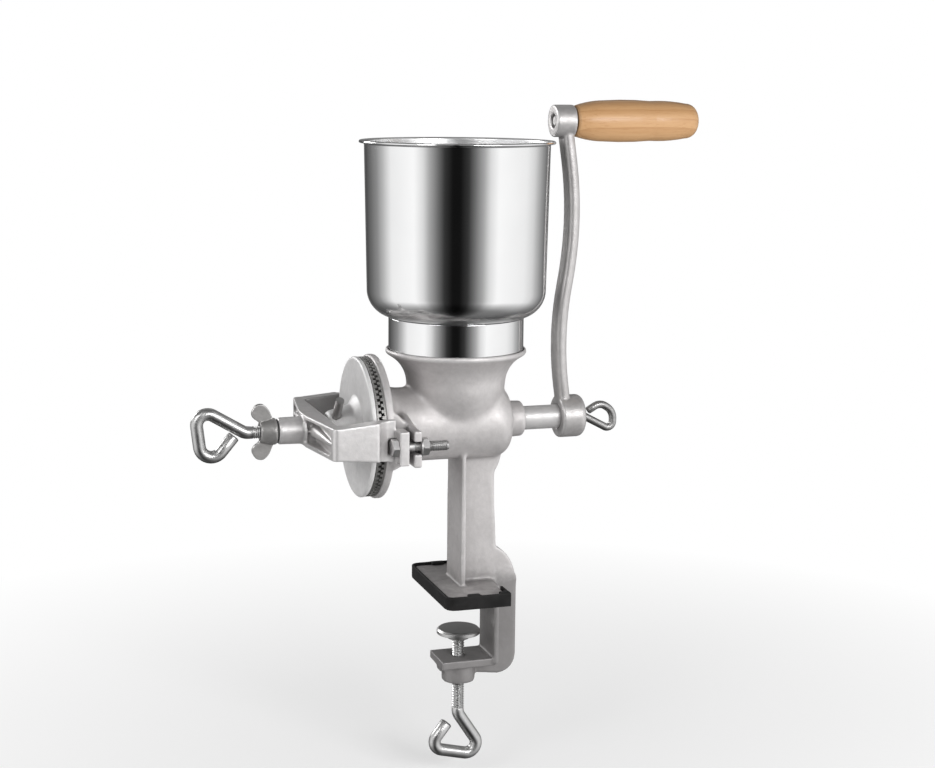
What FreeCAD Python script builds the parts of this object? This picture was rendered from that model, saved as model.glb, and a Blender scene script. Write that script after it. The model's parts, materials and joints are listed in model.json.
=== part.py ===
import FreeCAD, Part
import math
import os

import Sketcher

# Hand-cranked disc grain mill with a screw clamp under its foot.
# Frame: origin on the seat plane (underside of the foot boot), below the hopper's axis.
# +X runs along the shaft to the crank, +Y across it, +Z up.

V = FreeCAD.Vector
Rot = FreeCAD.Rotation
Plc = FreeCAD.Placement

doc = FreeCAD.newDocument("grain_mill")
sheet = doc.addObject("Spreadsheet::Sheet", "dims")


class Q:
    """A size with its number and the sheet expression that gives it."""

    def __init__(self, v, e):
        self.v, self.e = float(v), e

    def __add__(self, o):
        o = q(o)
        return Q(self.v + o.v, "(%s + %s)" % (self.e, o.e))

    __radd__ = __add__

    def __sub__(self, o):
        o = q(o)
        return Q(self.v - o.v, "(%s - %s)" % (self.e, o.e))

    def __rsub__(self, o):
        return q(o) - self

    def __mul__(self, o):
        o = q(o)
        return Q(self.v * o.v, "(%s * %s)" % (self.e, o.e))

    __rmul__ = __mul__

    def __truediv__(self, o):
        o = q(o)
        return Q(self.v / o.v, "(%s / %s)" % (self.e, o.e))

    def __neg__(self):
        return Q(-self.v, "(-1 * %s)" % self.e)


def q(x):
    return x if isinstance(x, Q) else Q(x, "(%.6f)" % x)


class D:
    pass


d = D()
ROWS = [
    # the casting, measured from the crossing of the shaft's and the hopper's axes
    ("shaft_z", 134.5), ("barrel_rad", 28.3), ("barrel_end", 40.5), ("bore_rad", 22.0),
    ("bore_end", 36.0), ("flange_rad", 54.6), ("flange_face", 68.4), ("flange_thick", 5.9),
    ("hub_rad", 14.1), ("hub_end", 53.3), ("shaft_rad", 9.2), ("bearing_gap", 0.06),
    ("lip_rad", 53.6), ("lip_top", 57.5), ("seat_rad", 51.8), ("seat_floor", 55.0),
    ("neck_rad", 38.0), ("throat_rad", 33.4),
    # leg, foot and clamp frame
    ("web_thick", 9.0), ("leg_face", 0.0), ("leg_flange", 3.6), ("leg_width", 38.0),
    ("leg_right", 31.0), ("foot_left", 19.0), ("foot_right", 27.5), ("foot_half", 49.0),
    ("foot_thick", 6.0), ("boot_floor", 2.5), ("boot_wall", 2.0), ("boot_high", 10.4),
    ("back_inner", 27.5), ("back_outer", 50.0), ("jaw_top", 52.0), ("jaw_thick", 6.0),
    ("jaw_left", 14.0), ("jaw_width", 34.0), ("clamp_x", 4.0), ("clamp_boss_rad", 13.0),
    ("clamp_boss_long", 20.0), ("clamp_rod", 4.8), ("thread_gap", 0.1),
    # slotted lugs and yoke
    ("lug_left", 53.6), ("lug_thick", 6.0), ("lug_out", 72.0), ("slot_high", 9.0),
    ("bolt_y", 64.5), ("bolt_z", 3.8), ("bolt_rad", 3.8), ("bolt_end", 27.0),
    ("yoke_inner", 55.5), ("yoke_outer", 67.5), ("yoke_foot_out", 71.5), ("yoke_low", 11.2), ("yoke_high", 12.7), ("bar_out", 120.0),
    ("bar_in", 105.5), ("arm_end", 57.0), ("yoke_boss_rad", 10.0), ("yoke_boss_end", 138.6),
    # grinding discs, along -X
    ("burr_rad", 52.8), ("burr_eye", 20.0), ("burr_thick", 3.2), ("burr_gap", 0.6),
    ("tooth_deep", 1.9), ("tooth_wide", 2.3), ("tooth_count", 72), ("disc_rad", 53.2),
    ("disc_thick", 3.8), ("disc_hub_end", 101.5), ("disc_shaft_rad", 9.0), ("pin_rad", 3.25),
    ("pin_x", 95.5), ("pin_half", 31.0), ("pin_tilt", -38.0), ("burr_screw_at", 43.0),
    ("burr_screw_rad", 2.4), ("ball_rad", 3.0),
    # auger
    ("flight_rad", 20.6), ("flight_pitch", 31.0), ("flight_thick", 5.0), ("core_rad", 9.0),
    # crank
    ("crank_in", 83.0), ("crank_out", 103.0), ("crank_hub_rad", 16.6), ("crank_throw", 228.0),
    ("crank_tilt", 0.0), ("arm_thick", 9.2), ("arm_wide", 17.0), ("boss_rad", 12.2),
    ("boss_in", 75.8), ("boss_out", 91.5), ("spindle_rad", 4.2), ("grip_start", 92.9),
    ("grip_long", 100.0), ("thumb_rod", 3.0),
    # hopper
    ("rim_rad", 73.6), ("rim_z", 213.6), ("bowl_rad", 69.7), ("bowl_low_rad", 67.7),
    ("bowl_corner", 20.7), ("bowl_floor", 81.5), ("sheet_thick", 0.9), ("collar_rad", 51.3),
    ("spigot_rad", 32.8), ("spigot_low", 32.0),
    # adjusting screw and lock nut
    ("adj_rod", 4.7), ("wing_face", 139.6), ("wing_end", 152.0),
    # clamp pad
    ("pad_top", 30.0), ("pad_rad", 17.0), ("pad_thick", 4.0), ("pad_boss", 4.0), ("clamp_eye", 100.0),
]
for n, (alias, value) in enumerate(ROWS, 1):
    sheet.set("A%d" % n, alias)
    sheet.set("B%d" % n, "%.4f" % value)
    sheet.setAlias("B%d" % n, alias)
    setattr(d, alias, Q(value, "dims." + alias))
doc.recompute()


def bind(obj, prop, value):
    """Ties one property to its sheet expression."""
    value = q(value)
    obj.setExpression(prop, value.e)


def body(label):
    b = doc.addObject("PartDesign::Body", label)
    b.Label = label
    return b


def sketch(b, name, plane="XZ_Plane", offset=None):
    sk = b.newObject("Sketcher::SketchObject", name)
    sup = [f for f in b.Origin.OriginFeatures if f.Role == plane][0]
    sk.AttachmentSupport = [(sup, "")]
    sk.MapMode = "FlatFace"
    if offset is not None:
        bind(sk, "AttachmentOffset.Base.z", offset)
    return sk


def pin_point(sk, geo, pos, x, y):
    """Fixes a sketch point at (x, y) from the sketch's origin."""
    for kind, val, axis in (("DistanceX", q(x), -2), ("DistanceY", q(y), -1)):
        if abs(val.v) < 1e-9:
            sk.addConstraint(Sketcher.Constraint("PointOnObject", geo, pos, axis))
        elif val.v > 0:
            c = sk.addConstraint(Sketcher.Constraint(kind, -1, 1, geo, pos, val.v))
            sk.setExpression("Constraints[%d]" % c, val.e)
        else:
            c = sk.addConstraint(Sketcher.Constraint(kind, geo, pos, -1, 1, -val.v))
            sk.setExpression("Constraints[%d]" % c, (-val).e)


def outline(sk, pts, arcs=None, closed=True):
    """A chain of lines; arcs maps an edge's index to (radius, 1 for counterclockwise or -1)."""
    arcs = arcs or {}
    n = len(pts)
    edges = []
    for i in range(n if closed else n - 1):
        a = pts[i]
        b = pts[(i + 1) % n]
        ax, ay, bx, by = q(a[0]).v, q(a[1]).v, q(b[0]).v, q(b[1]).v
        if i in arcs:
            r, turn = q(arcs[i][0]), arcs[i][1]
            c = math.hypot(bx - ax, by - ay)
            h = math.sqrt(max(r.v**2 - c * c / 4, 0.0))
            nx, ny = -(by - ay) / c, (bx - ax) / c
            cx, cy = (ax + bx) / 2 + turn * nx * h, (ay + by) / 2 + turn * ny * h
            s, e = ((ax, ay), (bx, by)) if turn > 0 else ((bx, by), (ax, ay))
            a0 = math.atan2(s[1] - cy, s[0] - cx)
            a1 = math.atan2(e[1] - cy, e[0] - cx)
            if a1 <= a0:
                a1 += 2 * math.pi
            g = sk.addGeometry(
                Part.ArcOfCircle(Part.Circle(V(cx, cy, 0), V(0, 0, 1), r.v), a0, a1)
            )
            edges.append((g, 1, 2, r) if turn > 0 else (g, 2, 1, r))
        else:
            g = sk.addGeometry(Part.LineSegment(V(ax, ay, 0), V(bx, by, 0)))
            edges.append((g, 1, 2, None))
    for i in range(len(edges)):
        if i + 1 < len(edges) or closed:
            e, f = edges[i], edges[(i + 1) % len(edges)]
            sk.addConstraint(Sketcher.Constraint("Coincident", e[0], e[2], f[0], f[1]))
    for i, e in enumerate(edges):
        pin_point(sk, e[0], e[1], *pts[i])
        if e[3] is not None:
            c = sk.addConstraint(Sketcher.Constraint("Radius", e[0], e[3].v))
            sk.setExpression("Constraints[%d]" % c, e[3].e)
    if not closed:
        pin_point(sk, edges[-1][0], edges[-1][2], *pts[-1])
    return sk


def circle(sk, x, y, r):
    r = q(r)
    g = sk.addGeometry(Part.Circle(V(q(x).v, q(y).v, 0), V(0, 0, 1), r.v))
    pin_point(sk, g, 3, x, y)
    c = sk.addConstraint(Sketcher.Constraint("Radius", g, r.v))
    sk.setExpression("Constraints[%d]" % c, r.e)
    return sk


def turned(b, name, pts, arcs=None, axis="H_Axis", cut=False, plane="XZ_Plane"):
    sk = outline(sketch(b, name + "_profile", plane), pts, arcs)
    f = b.newObject("PartDesign::Groove" if cut else "PartDesign::Revolution", name)
    f.Profile = sk
    f.ReferenceAxis = (sk, [axis])
    f.Angle = 360
    return f


def pad(b, name, sk, length, middle=True, back=False):
    f = b.newObject("PartDesign::Pad", name)
    f.Profile = sk
    bind(f, "Length", length)
    if middle:
        f.SideType = "Symmetric"
    f.Reversed = back
    return f


def pocket(b, name, sk, length, middle=False, back=False):
    f = b.newObject("PartDesign::Pocket", name)
    f.Profile = sk
    bind(f, "Length", length)
    if middle:
        f.SideType = "Symmetric"
    f.Reversed = back
    return f


def rect(sk, x0, y0, x1, y1):
    return outline(sk, [(x0, y0), (x1, y0), (x1, y1), (x0, y1)])


AX = {
    "x": Rot(V(0, 1, 0), 90),
    "y": Rot(V(1, 0, 0), -90),
    "z": Rot(),
}


def prim(kind, name, sizes, base=(0, 0, 0), axis="z", spin=0.0):
    o = doc.addObject(kind, name)
    for k, val in sizes.items():
        bind(o, k, val)
    o.Placement = Plc(V(0, 0, 0), AX[axis].multiply(Rot(V(0, 0, 1), spin)))
    for k, val in zip("xyz", base):
        bind(o, "Placement.Base." + k, val)
    return o


def cyl(name, r, length, base=(0, 0, 0), axis="z"):
    return prim("Part::Cylinder", name, {"Radius": r, "Height": length}, base, axis)


def box(name, lx, ly, lz, base=(0, 0, 0)):
    return prim("Part::Box", name, {"Length": lx, "Width": ly, "Height": lz}, base)


def fuse(name, *objs):
    o = doc.addObject("Part::MultiFuse", name)
    o.Shapes = list(objs)
    o.Refine = True
    return o


def cut(name, base, tool):
    o = doc.addObject("Part::Cut", name)
    o.Base, o.Tool = base, tool
    return o


def group(label, *objs):
    o = doc.addObject("Part::Compound", label)
    o.Label = label
    o.Links = list(objs)
    return o


def place(o, z=None, rot=None):
    o.Placement = Plc(V(0, 0, 0), rot or Rot())
    bind(o, "Placement.Base.z", d.shaft_z if z is None else z)
    return o


NODES = []


def node(o):
    NODES.append(o)
    return o


# ---------------------------------------------------------------- mill body
b = body("mill_body")
fx = -d.flange_face
turned(
    b, "barrel",
    [(fx, 0), (fx, d.flange_rad - 0.8), (fx + 0.8, d.flange_rad), (fx + d.flange_thick - 1, d.flange_rad),
     (fx + d.flange_thick, d.flange_rad - 1.2), (fx + d.flange_thick + 0.6, 45.0), (fx + 16.7, d.barrel_rad + 0.7),
     (fx + 21.7, d.barrel_rad), (d.barrel_end - 11, d.barrel_rad), (d.barrel_end, d.barrel_rad - 11),
     (d.barrel_end + 0.6, d.hub_rad + 1), (d.barrel_end + 1.6, d.hub_rad), (d.hub_end - 1.2, d.hub_rad - 0.4),
     (d.hub_end, d.hub_rad - 1.6), (d.hub_end, 0)],
    {5: (21.0, 1), 8: (11.0, -1)},
)
turned(
    b, "mouth",
    [(0, -6), (20, -6), (26.6, 4), (d.neck_rad - 0.9, 26), (d.neck_rad - 0.3, 30), (d.neck_rad, 34), (d.lip_rad - 4.4, d.lip_top - 6.2),
     (d.lip_rad, d.lip_top - 3.4), (d.lip_rad, d.lip_top - 0.8), (d.lip_rad - 0.6, d.lip_top), (0, d.lip_top)],
    {2: (70.0, 1), 5: (26.0, -1)}, axis="V_Axis",
)
foot_low = d.boot_floor - d.shaft_z
foot_top = foot_low + d.foot_thick
jaw = -d.jaw_top - d.shaft_z
web = outline(
    sketch(b, "web_profile"),
    [(d.leg_face + 2, -14), (d.leg_right + 6, -14), (d.leg_right + 6, -22), (d.leg_right, -41), (d.leg_right, -62),
     (d.leg_right + 2, foot_top + 26), (d.back_outer - 1.5, foot_top + 4), (d.back_outer, foot_low), (d.back_outer, jaw - 2),
     (d.back_outer - 15, jaw - 17), (2 - d.jaw_left, jaw - 11), (-d.jaw_left, jaw - 3), (d.back_inner + 1, jaw - 3),
     (d.back_inner + 1, foot_low + 3), (d.leg_face + 2, foot_low + 3)],
    {2: (34.0, -1), 5: (30.0, -1), 6: (12.0, -1), 8: (15.0, -1)},
)
pad(b, "web", web, d.web_thick)
pad(b, "leg_flange", rect(sketch(b, "leg_flange_profile"), d.leg_face, foot_low + 3, d.leg_face + d.leg_flange, -18), d.leg_width)
pad(b, "back_flange", rect(sketch(b, "back_flange_profile"), d.back_inner, jaw - 4, d.back_inner + d.leg_flange, foot_top - 1), d.leg_width)
foot = outline(
    sketch(b, "foot_outline", "XY_Plane", foot_low),
    [(5 - d.foot_left, -d.foot_half), (d.foot_right, -d.foot_half), (d.foot_right, d.foot_half), (5 - d.foot_left, d.foot_half),
     (-d.foot_left, d.foot_half - 5), (-d.foot_left, 5 - d.foot_half)],
    {3: (5.0, 1), 5: (5.0, 1)},
)
pad(b, "foot", foot, d.foot_thick, middle=False)
jaw_sk = rect(sketch(b, "jaw_outline", "XY_Plane", jaw - d.jaw_thick), -d.jaw_left, -d.jaw_width / 2, d.back_inner + 2, d.jaw_width / 2)
pad(b, "jaw", jaw_sk, d.jaw_thick, middle=False)
boss_sk = circle(sketch(b, "clamp_boss_circle", "XY_Plane", jaw - d.clamp_boss_long), d.clamp_x, 0, d.clamp_boss_rad)
pad(b, "clamp_boss", boss_sk, d.clamp_boss_long, middle=False)
lug_sk = sketch(b, "lug_outline", "YZ_Plane", -d.lug_left)
bz = -d.bolt_z
for s in (1, -1):
    outline(lug_sk, [(s * 20, -16), (s * 52, bz - 14.5), (s * d.lug_out, bz - 14.5), (s * d.lug_out, bz + 12.8),
                     (s * (d.lug_out - 13), bz + 12.8), (s * 36, 15), (s * 20, 13)])
pad(b, "lugs", lug_sk, d.lug_thick, middle=False)
for name, off in (("near", 44.0), ("far", -51.0)):
    gus = outline(sketch(b, "gusset_" + name + "_outline", "XZ_Plane", off), [(-63.0, -24), (-48.5, -17.5), (-48.5, 8), (-63.0, 20)])
    pad(b, "gusset_" + name, gus, 7.0, middle=False)
slot_sk = sketch(b, "slot_outline", "YZ_Plane", -d.lug_left - 1)
for s in (1, -1):
    outline(slot_sk, [(s * (d.bolt_y - 1.3), bz - d.slot_high / 2), (s * (d.lug_out + 2), bz - d.slot_high / 2),
                      (s * (d.lug_out + 2), bz + d.slot_high / 2), (s * (d.bolt_y - 1.3), bz + d.slot_high / 2)],
            {3: (d.slot_high / 2 + 0.2, s)})
pocket(b, "slots", slot_sk, d.lug_thick + 2, back=True)
# the barrel's bore and bearing, and the mouth's seat, cone and throat
turned(b, "bore", [(fx - 1, 0), (fx - 1, d.bore_rad), (d.bore_end, d.bore_rad), (d.bore_end, d.shaft_rad + d.bearing_gap),
                   (d.hub_end + 1, d.shaft_rad + d.bearing_gap), (d.hub_end + 1, 0)], cut=True)
turned(b, "throat", [(0, 0), (d.bore_rad - 1, 0), (d.bore_rad - 1, 7), (28, 15.5), (d.throat_rad, 25.5), (d.throat_rad, 40), (36, 45),
                     (40, d.seat_floor - 4), (45.5, d.seat_floor), (d.seat_rad, d.seat_floor), (d.seat_rad, d.lip_top + 1), (0, d.lip_top + 1)],
       axis="V_Axis", cut=True)
clamp_sk = circle(sketch(b, "clamp_thread_circle", "XY_Plane", jaw - d.clamp_boss_long - 2), d.clamp_x, 0, d.clamp_rod + d.thread_gap)
pocket(b, "clamp_thread", clamp_sk, d.clamp_boss_long + 4, back=True)
scr_sk = sketch(b, "burr_screw_holes", "YZ_Plane", fx - 1)
SCREW_ANGLES = (90, 210, 330)
for a in SCREW_ANGLES:
    circle(scr_sk, d.burr_screw_at * math.cos(math.radians(a)), d.burr_screw_at * math.sin(math.radians(a)), d.burr_screw_rad + 0.1)
pocket(b, "burr_screw_threads", scr_sk, 16, back=True)
node(place(b))

# ---------------------------------------------------------------- hopper
b = body("hopper_bowl")
w = d.sheet_thick
cz = d.bowl_floor + d.bowl_corner
turned(
    b, "bowl",
    [(46, d.bowl_floor), (d.bowl_low_rad - d.bowl_corner, d.bowl_floor), (d.bowl_low_rad, cz), (d.bowl_rad, d.rim_z - 2.2), (d.rim_rad - 1, d.rim_z - 2.2),
     (d.rim_rad, d.rim_z - 1.2), (d.rim_rad - 1, d.rim_z), (d.bowl_rad - w, d.rim_z), (d.bowl_low_rad - w, cz),
     (d.bowl_low_rad - d.bowl_corner, d.bowl_floor + w), (46, d.bowl_floor + w)],
    {1: (d.bowl_corner, 1), 4: (1.05, 1), 5: (1.25, 1), 8: (d.bowl_corner - w, -1)}, axis="V_Axis",
)
node(place(b))
b = body("hopper_collar")
cr, sr, sf = d.collar_rad, d.spigot_rad, d.seat_floor
turned(
    b, "collar",
    [(sr - w, d.spigot_low), (sr, d.spigot_low), (sr, 40.4), (35.2, 45.6), (39.2, sf - 3.4), (45.0, sf + 0.3), (cr, sf + 0.3), (cr, d.bowl_floor),
     (46.5, d.bowl_floor), (46.5, d.bowl_floor - w), (cr - w, d.bowl_floor - w), (cr - w, sf + 0.3 + w), (44.6, sf + 0.3 + w),
     (38.6, sf - 2.7), (34.4, 46.0), (sr - w, 40.6)],
    axis="V_Axis",
)
node(place(b))

# ---------------------------------------------------------------- grinding plates
face0 = fx  # back of the fixed plate
face1 = fx - d.burr_thick  # its toothed face
face2 = face1 - d.burr_gap  # toothed face of the turning plate
face3 = face2 - d.burr_thick  # its back
face4 = face3 - d.disc_thick  # outer face of the disc


def burr(label, x_back, x_teeth, sign):
    """A ring plate with radial furrows; sign is the way its teeth face along X."""
    b = body(label)
    turned(b, "plate_" + label, [(x_back, d.burr_eye), (x_back, d.burr_rad), (x_teeth, d.burr_rad), (x_teeth, d.burr_eye)])
    hole = sketch(b, "holes_" + label, "YZ_Plane", x_back - sign * 1)
    for a in SCREW_ANGLES:
        circle(hole, d.burr_screw_at * math.cos(math.radians(a)), d.burr_screw_at * math.sin(math.radians(a)), d.burr_screw_rad + 0.1)
    pocket(b, "screw_holes_" + label, hole, d.burr_thick + 2, back=sign > 0)
    sink = sketch(b, "sinks_" + label, "YZ_Plane", x_back + sign * 1.5)
    for a in SCREW_ANGLES:
        circle(sink, d.burr_screw_at * math.cos(math.radians(a)), d.burr_screw_at * math.sin(math.radians(a)), d.burr_screw_rad + 2.2)
    pocket(b, "head_sinks_" + label, sink, d.burr_thick, back=sign > 0)
    g = sketch(b, "furrow_outline_" + label, "YZ_Plane", x_teeth)
    rect(g, 33.0, -d.tooth_wide / 2, d.burr_rad + 1, d.tooth_wide / 2)
    furrow = pocket(b, "furrow_" + label, g, d.tooth_deep, back=sign < 0)
    ring = b.newObject("PartDesign::PolarPattern", "furrows_" + label)
    ring.Originals = [furrow]
    ring.Axis = (g, ["N_Axis"])
    ring.Angle = 360
    bind(ring, "Occurrences", d.tooth_count)
    b.Tip = ring
    g2 = sketch(b, "feed_outline_" + label, "YZ_Plane", x_teeth)
    outline(g2, [(18, -2.6), (38, -0.8), (38, 0.8), (18, 2.6)])
    feed = pocket(b, "feed_" + label, g2, d.tooth_deep + 0.4, back=sign < 0)
    ring2 = b.newObject("PartDesign::PolarPattern", "feeds_" + label)
    ring2.Originals = [feed]
    ring2.Axis = (g2, ["N_Axis"])
    ring2.Angle = 360
    ring2.Occurrences = 18
    b.Tip = ring2
    return b


TILT = Rot(V(1, 0, 0), -d.crank_tilt.v)
PIN = Rot(V(1, 0, 0), -d.pin_tilt.v)
node(place(burr("fixed_burr", face0, face1, -1)))
node(place(burr("rotating_burr", face3, face2, 1), rot=PIN))


def burr_screws(label, x_back, sign, long, turn=None):
    """Three flat-headed screws; sign is the way their heads face along X."""
    out = []
    for i, a in enumerate(SCREW_ANGLES):
        b = body("%s_%d" % (label, i))
        r = d.burr_screw_rad
        turned(b, "%s_turn_%d" % (label, i),
               [(x_back - sign * long, 0), (x_back - sign * long, r - 0.4), (x_back - sign * (long - 0.4), r), (x_back + sign * 1.55, r),
                (x_back + sign * 1.55, r + 2), (x_back + sign * 2.6, r + 2), (x_back + sign * 2.9, r + 1.7), (x_back + sign * 2.9, 0)])
        sl = rect(sketch(b, "%s_slot_%d" % (label, i), "YZ_Plane", x_back + sign * 2.9), -6, -0.5, 6, 0.5)
        pocket(b, "%s_drive_%d" % (label, i), sl, 0.8, back=sign < 0)
        ca, sa = math.cos(math.radians(a)), math.sin(math.radians(a))
        bind(b, "Placement.Base.y", d.burr_screw_at * ca)
        bind(b, "Placement.Base.z", d.burr_screw_at * sa)
        out.append(b)
    return place(group(label, *out), rot=turn)


node(burr_screws("fixed_burr_screws", face0, -1, 6.0))
node(burr_screws("rotating_burr_screws", face3, 1, 3.0, PIN))

b = body("rotating_disc")
turned(
    b, "disc",
    [(face3, d.disc_shaft_rad + 0.05), (face3, d.disc_rad - 0.8), (face3 - 0.8, d.disc_rad), (face4 + 1.6, d.disc_rad), (face4, d.disc_rad - 1.6),
     (face4 + 0.5, 24.0), (face4 - 4, 17.5), (-d.disc_hub_end + 2, 13.2), (-d.disc_hub_end, 11.4), (-d.disc_hub_end, d.disc_shaft_rad + 0.05)],
    {3: (1.7, 1)},
)
h = sketch(b, "disc_screw_holes", "YZ_Plane", face3 + 1)
for a in SCREW_ANGLES:
    circle(h, d.burr_screw_at * math.cos(math.radians(a)), d.burr_screw_at * math.sin(math.radians(a)), d.burr_screw_rad + 0.1)
pocket(b, "disc_screw_threads", h, 4.2, back=False)
h = circle(sketch(b, "disc_pin_circle", "XY_Plane", -40), -d.pin_x, 0, d.pin_rad + 0.05)
pocket(b, "disc_pin_hole", h, 80, back=True)
node(place(b, rot=PIN))
b = body("disc_pin")
ps = circle(sketch(b, "pin_circle", "XY_Plane", -d.pin_half), -d.pin_x, 0, d.pin_rad)
pad(b, "pin", ps, d.pin_half * 2, middle=False)
node(place(b, rot=PIN))

# ---------------------------------------------------------------- auger and shaft
b = body("feed_auger")
dr, co, sh = d.disc_shaft_rad, d.core_rad, d.shaft_rad
cup = d.ball_rad + 0.1
turned(
    b, "shaft",
    [(2.0 - d.disc_hub_end, 0), (2.0 - d.disc_hub_end, cup), (-d.disc_hub_end, cup), (-d.disc_hub_end, dr - 0.8), (0.8 - d.disc_hub_end, dr), (-62, dr), (30, co), (33, sh),
     (d.crank_out - 3, sh), (d.crank_out - 2, sh - 1), (d.crank_out - 2, d.thumb_rod + 0.15), (d.crank_in + 7, d.thumb_rod + 0.15), (d.crank_in + 5.5, 0)],
)
fl = outline(sketch(b, "flight_outline"), [(-57, co - 1.5), (-57 + d.flight_thick, co - 1.5), (-57 + d.flight_thick * 0.8, d.flight_rad), (-57 + d.flight_thick * 0.2, d.flight_rad)])
hx = b.newObject("PartDesign::AdditiveHelix", "flight")
hx.Profile = fl
hx.ReferenceAxis = (fl, ["H_Axis"])
hx.Mode = "pitch-height-angle"
bind(hx, "Pitch", d.flight_pitch)
bind(hx, "Height", d.flight_pitch * 2.65)
hx.Angle = 0
hx.LeftHanded = True
hp = circle(sketch(b, "shaft_pin_circle", "XY_Plane", -40), -d.pin_x, 0, d.pin_rad + 0.05)
pocket(b, "shaft_pin_hole", hp, 80, back=True)
fs = rect(sketch(b, "flat_outline"), d.crank_in + 1, d.shaft_rad - 2.2, d.crank_out + 1, d.shaft_rad + 2)
pocket(b, "flat", fs, 60, middle=True)
node(place(b, rot=PIN))
ball = prim("Part::Sphere", "thrust_ball", {"Radius": d.ball_rad}, (1.9 - d.disc_hub_end - d.ball_rad, 0, d.shaft_z))
ball.Label = "thrust_ball"
node(ball)

# ---------------------------------------------------------------- yoke
b = body("yoke")
yl, yh = d.yoke_low, d.yoke_high
yo, yi = d.yoke_outer, d.yoke_inner
bar = outline(sketch(b, "yoke_plan", "XY_Plane", -yl),
              [(-d.bar_out, -11), (7.6 - d.bar_out, 4 - yo), (11.5 - d.bar_out, -yo), (-80, -yo), (-80, -yi), (3 - d.bar_in, -yi), (-d.bar_in, 3 - yi),
               (-d.bar_in, yi - 3), (3 - d.bar_in, yi), (-80, yi), (-80, yo), (11.5 - d.bar_out, yo), (7.6 - d.bar_out, yo - 4), (-d.bar_out, 11)],
              {1: (4.2, 1), 11: (4.2, 1), 5: (3.0, -1), 7: (3.0, -1)})
pad(b, "yoke_bow", bar, yl + yh, middle=False)
for name, off, foot_off in (("near", yi, yi), ("far", -yo, -d.yoke_foot_out)):
    side = outline(sketch(b, "arm_side_" + name, "XZ_Plane", off),
                   [(-107, -yl), (-78, -13.6), (-64, -15.8), (-d.arm_end, bz - 12.6), (-d.arm_end, bz + 12.4), (-64, bz + 12.4), (-64, 15.8), (-78, 15.3), (-107, yh)])
    pad(b, "arm_" + name, side, yo - yi, middle=False)
    end = rect(sketch(b, "arm_foot_" + name, "XZ_Plane", foot_off), -64, bz - 12.6, -d.arm_end, bz + 12.4)
    pad(b, "foot_" + name, end, d.yoke_foot_out - yi, middle=False)
rec = sketch(b, "recess_outline", "YZ_Plane", -d.bar_out)
for s in (1, -1):
    outline(rec, [(s * 9, 3.2 - yl), (s * (yo - 12), 3.2 - yl), (s * (yo - 6), 9.2 - yl), (s * (yo - 6), yh - 9.2), (s * (yo - 12), yh - 3.2), (s * 9, yh - 3.2)],
            {1: (6.0, s), 3: (6.0, s)})
pocket(b, "recesses", rec, 9.5, back=True)
for name, s in (("near", -1), ("far", 1)):
    rib = b.newObject("PartDesign::AdditiveCone", "bow_rib_" + name)
    for k, val in (("Radius1", 5.3), ("Radius2", 1.5), ("Height", 52.0)):
        bind(rib, k, val)
    rib.Placement = Plc(V(0, 0, 0), Rot(V(1, 0, 0), -90 * s))
    for k, val in zip("xyz", (8.5 - d.bar_out, q(s * 8.0), 0.7)):
        bind(rib, "Placement.Base." + k, val)
turned(b, "yoke_boss", [(-d.bar_out + 2, 0), (-d.bar_out + 2, 12.4), (-d.bar_out - 3, d.yoke_boss_rad + 0.3), (-d.yoke_boss_end + 1, d.yoke_boss_rad),
                        (-d.yoke_boss_end, d.yoke_boss_rad - 1), (-d.yoke_boss_end, 0)], {1: (6.0, -1)})
scoop = sketch(b, "scoop_outline", "XY_Plane", -40)
for k in (1, -1):
    outline(scoop, [(-78.5, k * (yo + 0.5)), (-64.0, k * (yo + 0.5)), (-64.0, k * (yi + 5)), (-71.0, k * (yi + 5))], {3: (14.0, -k)})
pocket(b, "scoops", scoop, 80, back=True)
seat = sketch(b, "bolt_seat_outline", "YZ_Plane", -70.2)
for k in (1, -1):
    circle(seat, k * d.bolt_y, bz, 7.5)
pocket(b, "bolt_seats", seat, 6.2, back=True)
bh = sketch(b, "bolt_holes", "YZ_Plane", -70)
for s in (1, -1):
    circle(bh, s * d.bolt_y, bz, d.bolt_rad + 0.2)
pocket(b, "bolt_hole_pair", bh, 30, back=True)
turned(b, "adjust_thread", [(-d.yoke_boss_end - 1, 0), (-d.yoke_boss_end - 1, d.adj_rod + d.thread_gap), (1 - d.bar_in, d.adj_rod + d.thread_gap), (1 - d.bar_in, 0)], cut=True)
node(place(b))


def bolt(side):
    n = "yoke_bolt_%s" % ("near" if side < 0 else "far")
    head = prim("Part::Prism", n + "_head", {"Polygon": 6, "Circumradius": 6.9, "Height": 5.0}, (-69, side * d.bolt_y, bz), "x", 30)
    shank = cyl(n + "_shank", d.bolt_rad, 64.2 - d.bolt_end, (-64.2, side * d.bolt_y, bz), "x")
    tip = prim("Part::Cone", n + "_tip", {"Radius1": d.bolt_rad, "Radius2": d.bolt_rad - 0.8, "Height": 1.0}, (-d.bolt_end, side * d.bolt_y, bz), "x")
    return fuse(n, head, shank, tip)


def ring_on_bolt(name, side, x, r, thick, six):
    base = (x, side * d.bolt_y, bz)
    outer = prim("Part::Prism", name + "_six", {"Polygon": 6, "Circumradius": r, "Height": thick}, base, "x", 30) if six else cyl(name + "_disc", r, thick, base, "x")
    return cut(name, outer, cyl(name + "_hole", d.bolt_rad + 0.05, thick + 2, (x - 1, side * d.bolt_y, bz), "x"))


node(place(group("yoke_bolts", bolt(-1), bolt(1))))
wx = d.lug_thick - d.lug_left
node(place(group("yoke_washers", ring_on_bolt("washer_near", -1, wx, 7.4, 1.2, False), ring_on_bolt("washer_far", 1, wx, 7.4, 1.2, False))))
node(place(group("yoke_nuts", ring_on_bolt("nut_near", -1, wx + 1.2, 6.9, 5.4, True), ring_on_bolt("nut_far", 1, wx + 1.2, 6.9, 5.4, True))))


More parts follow.
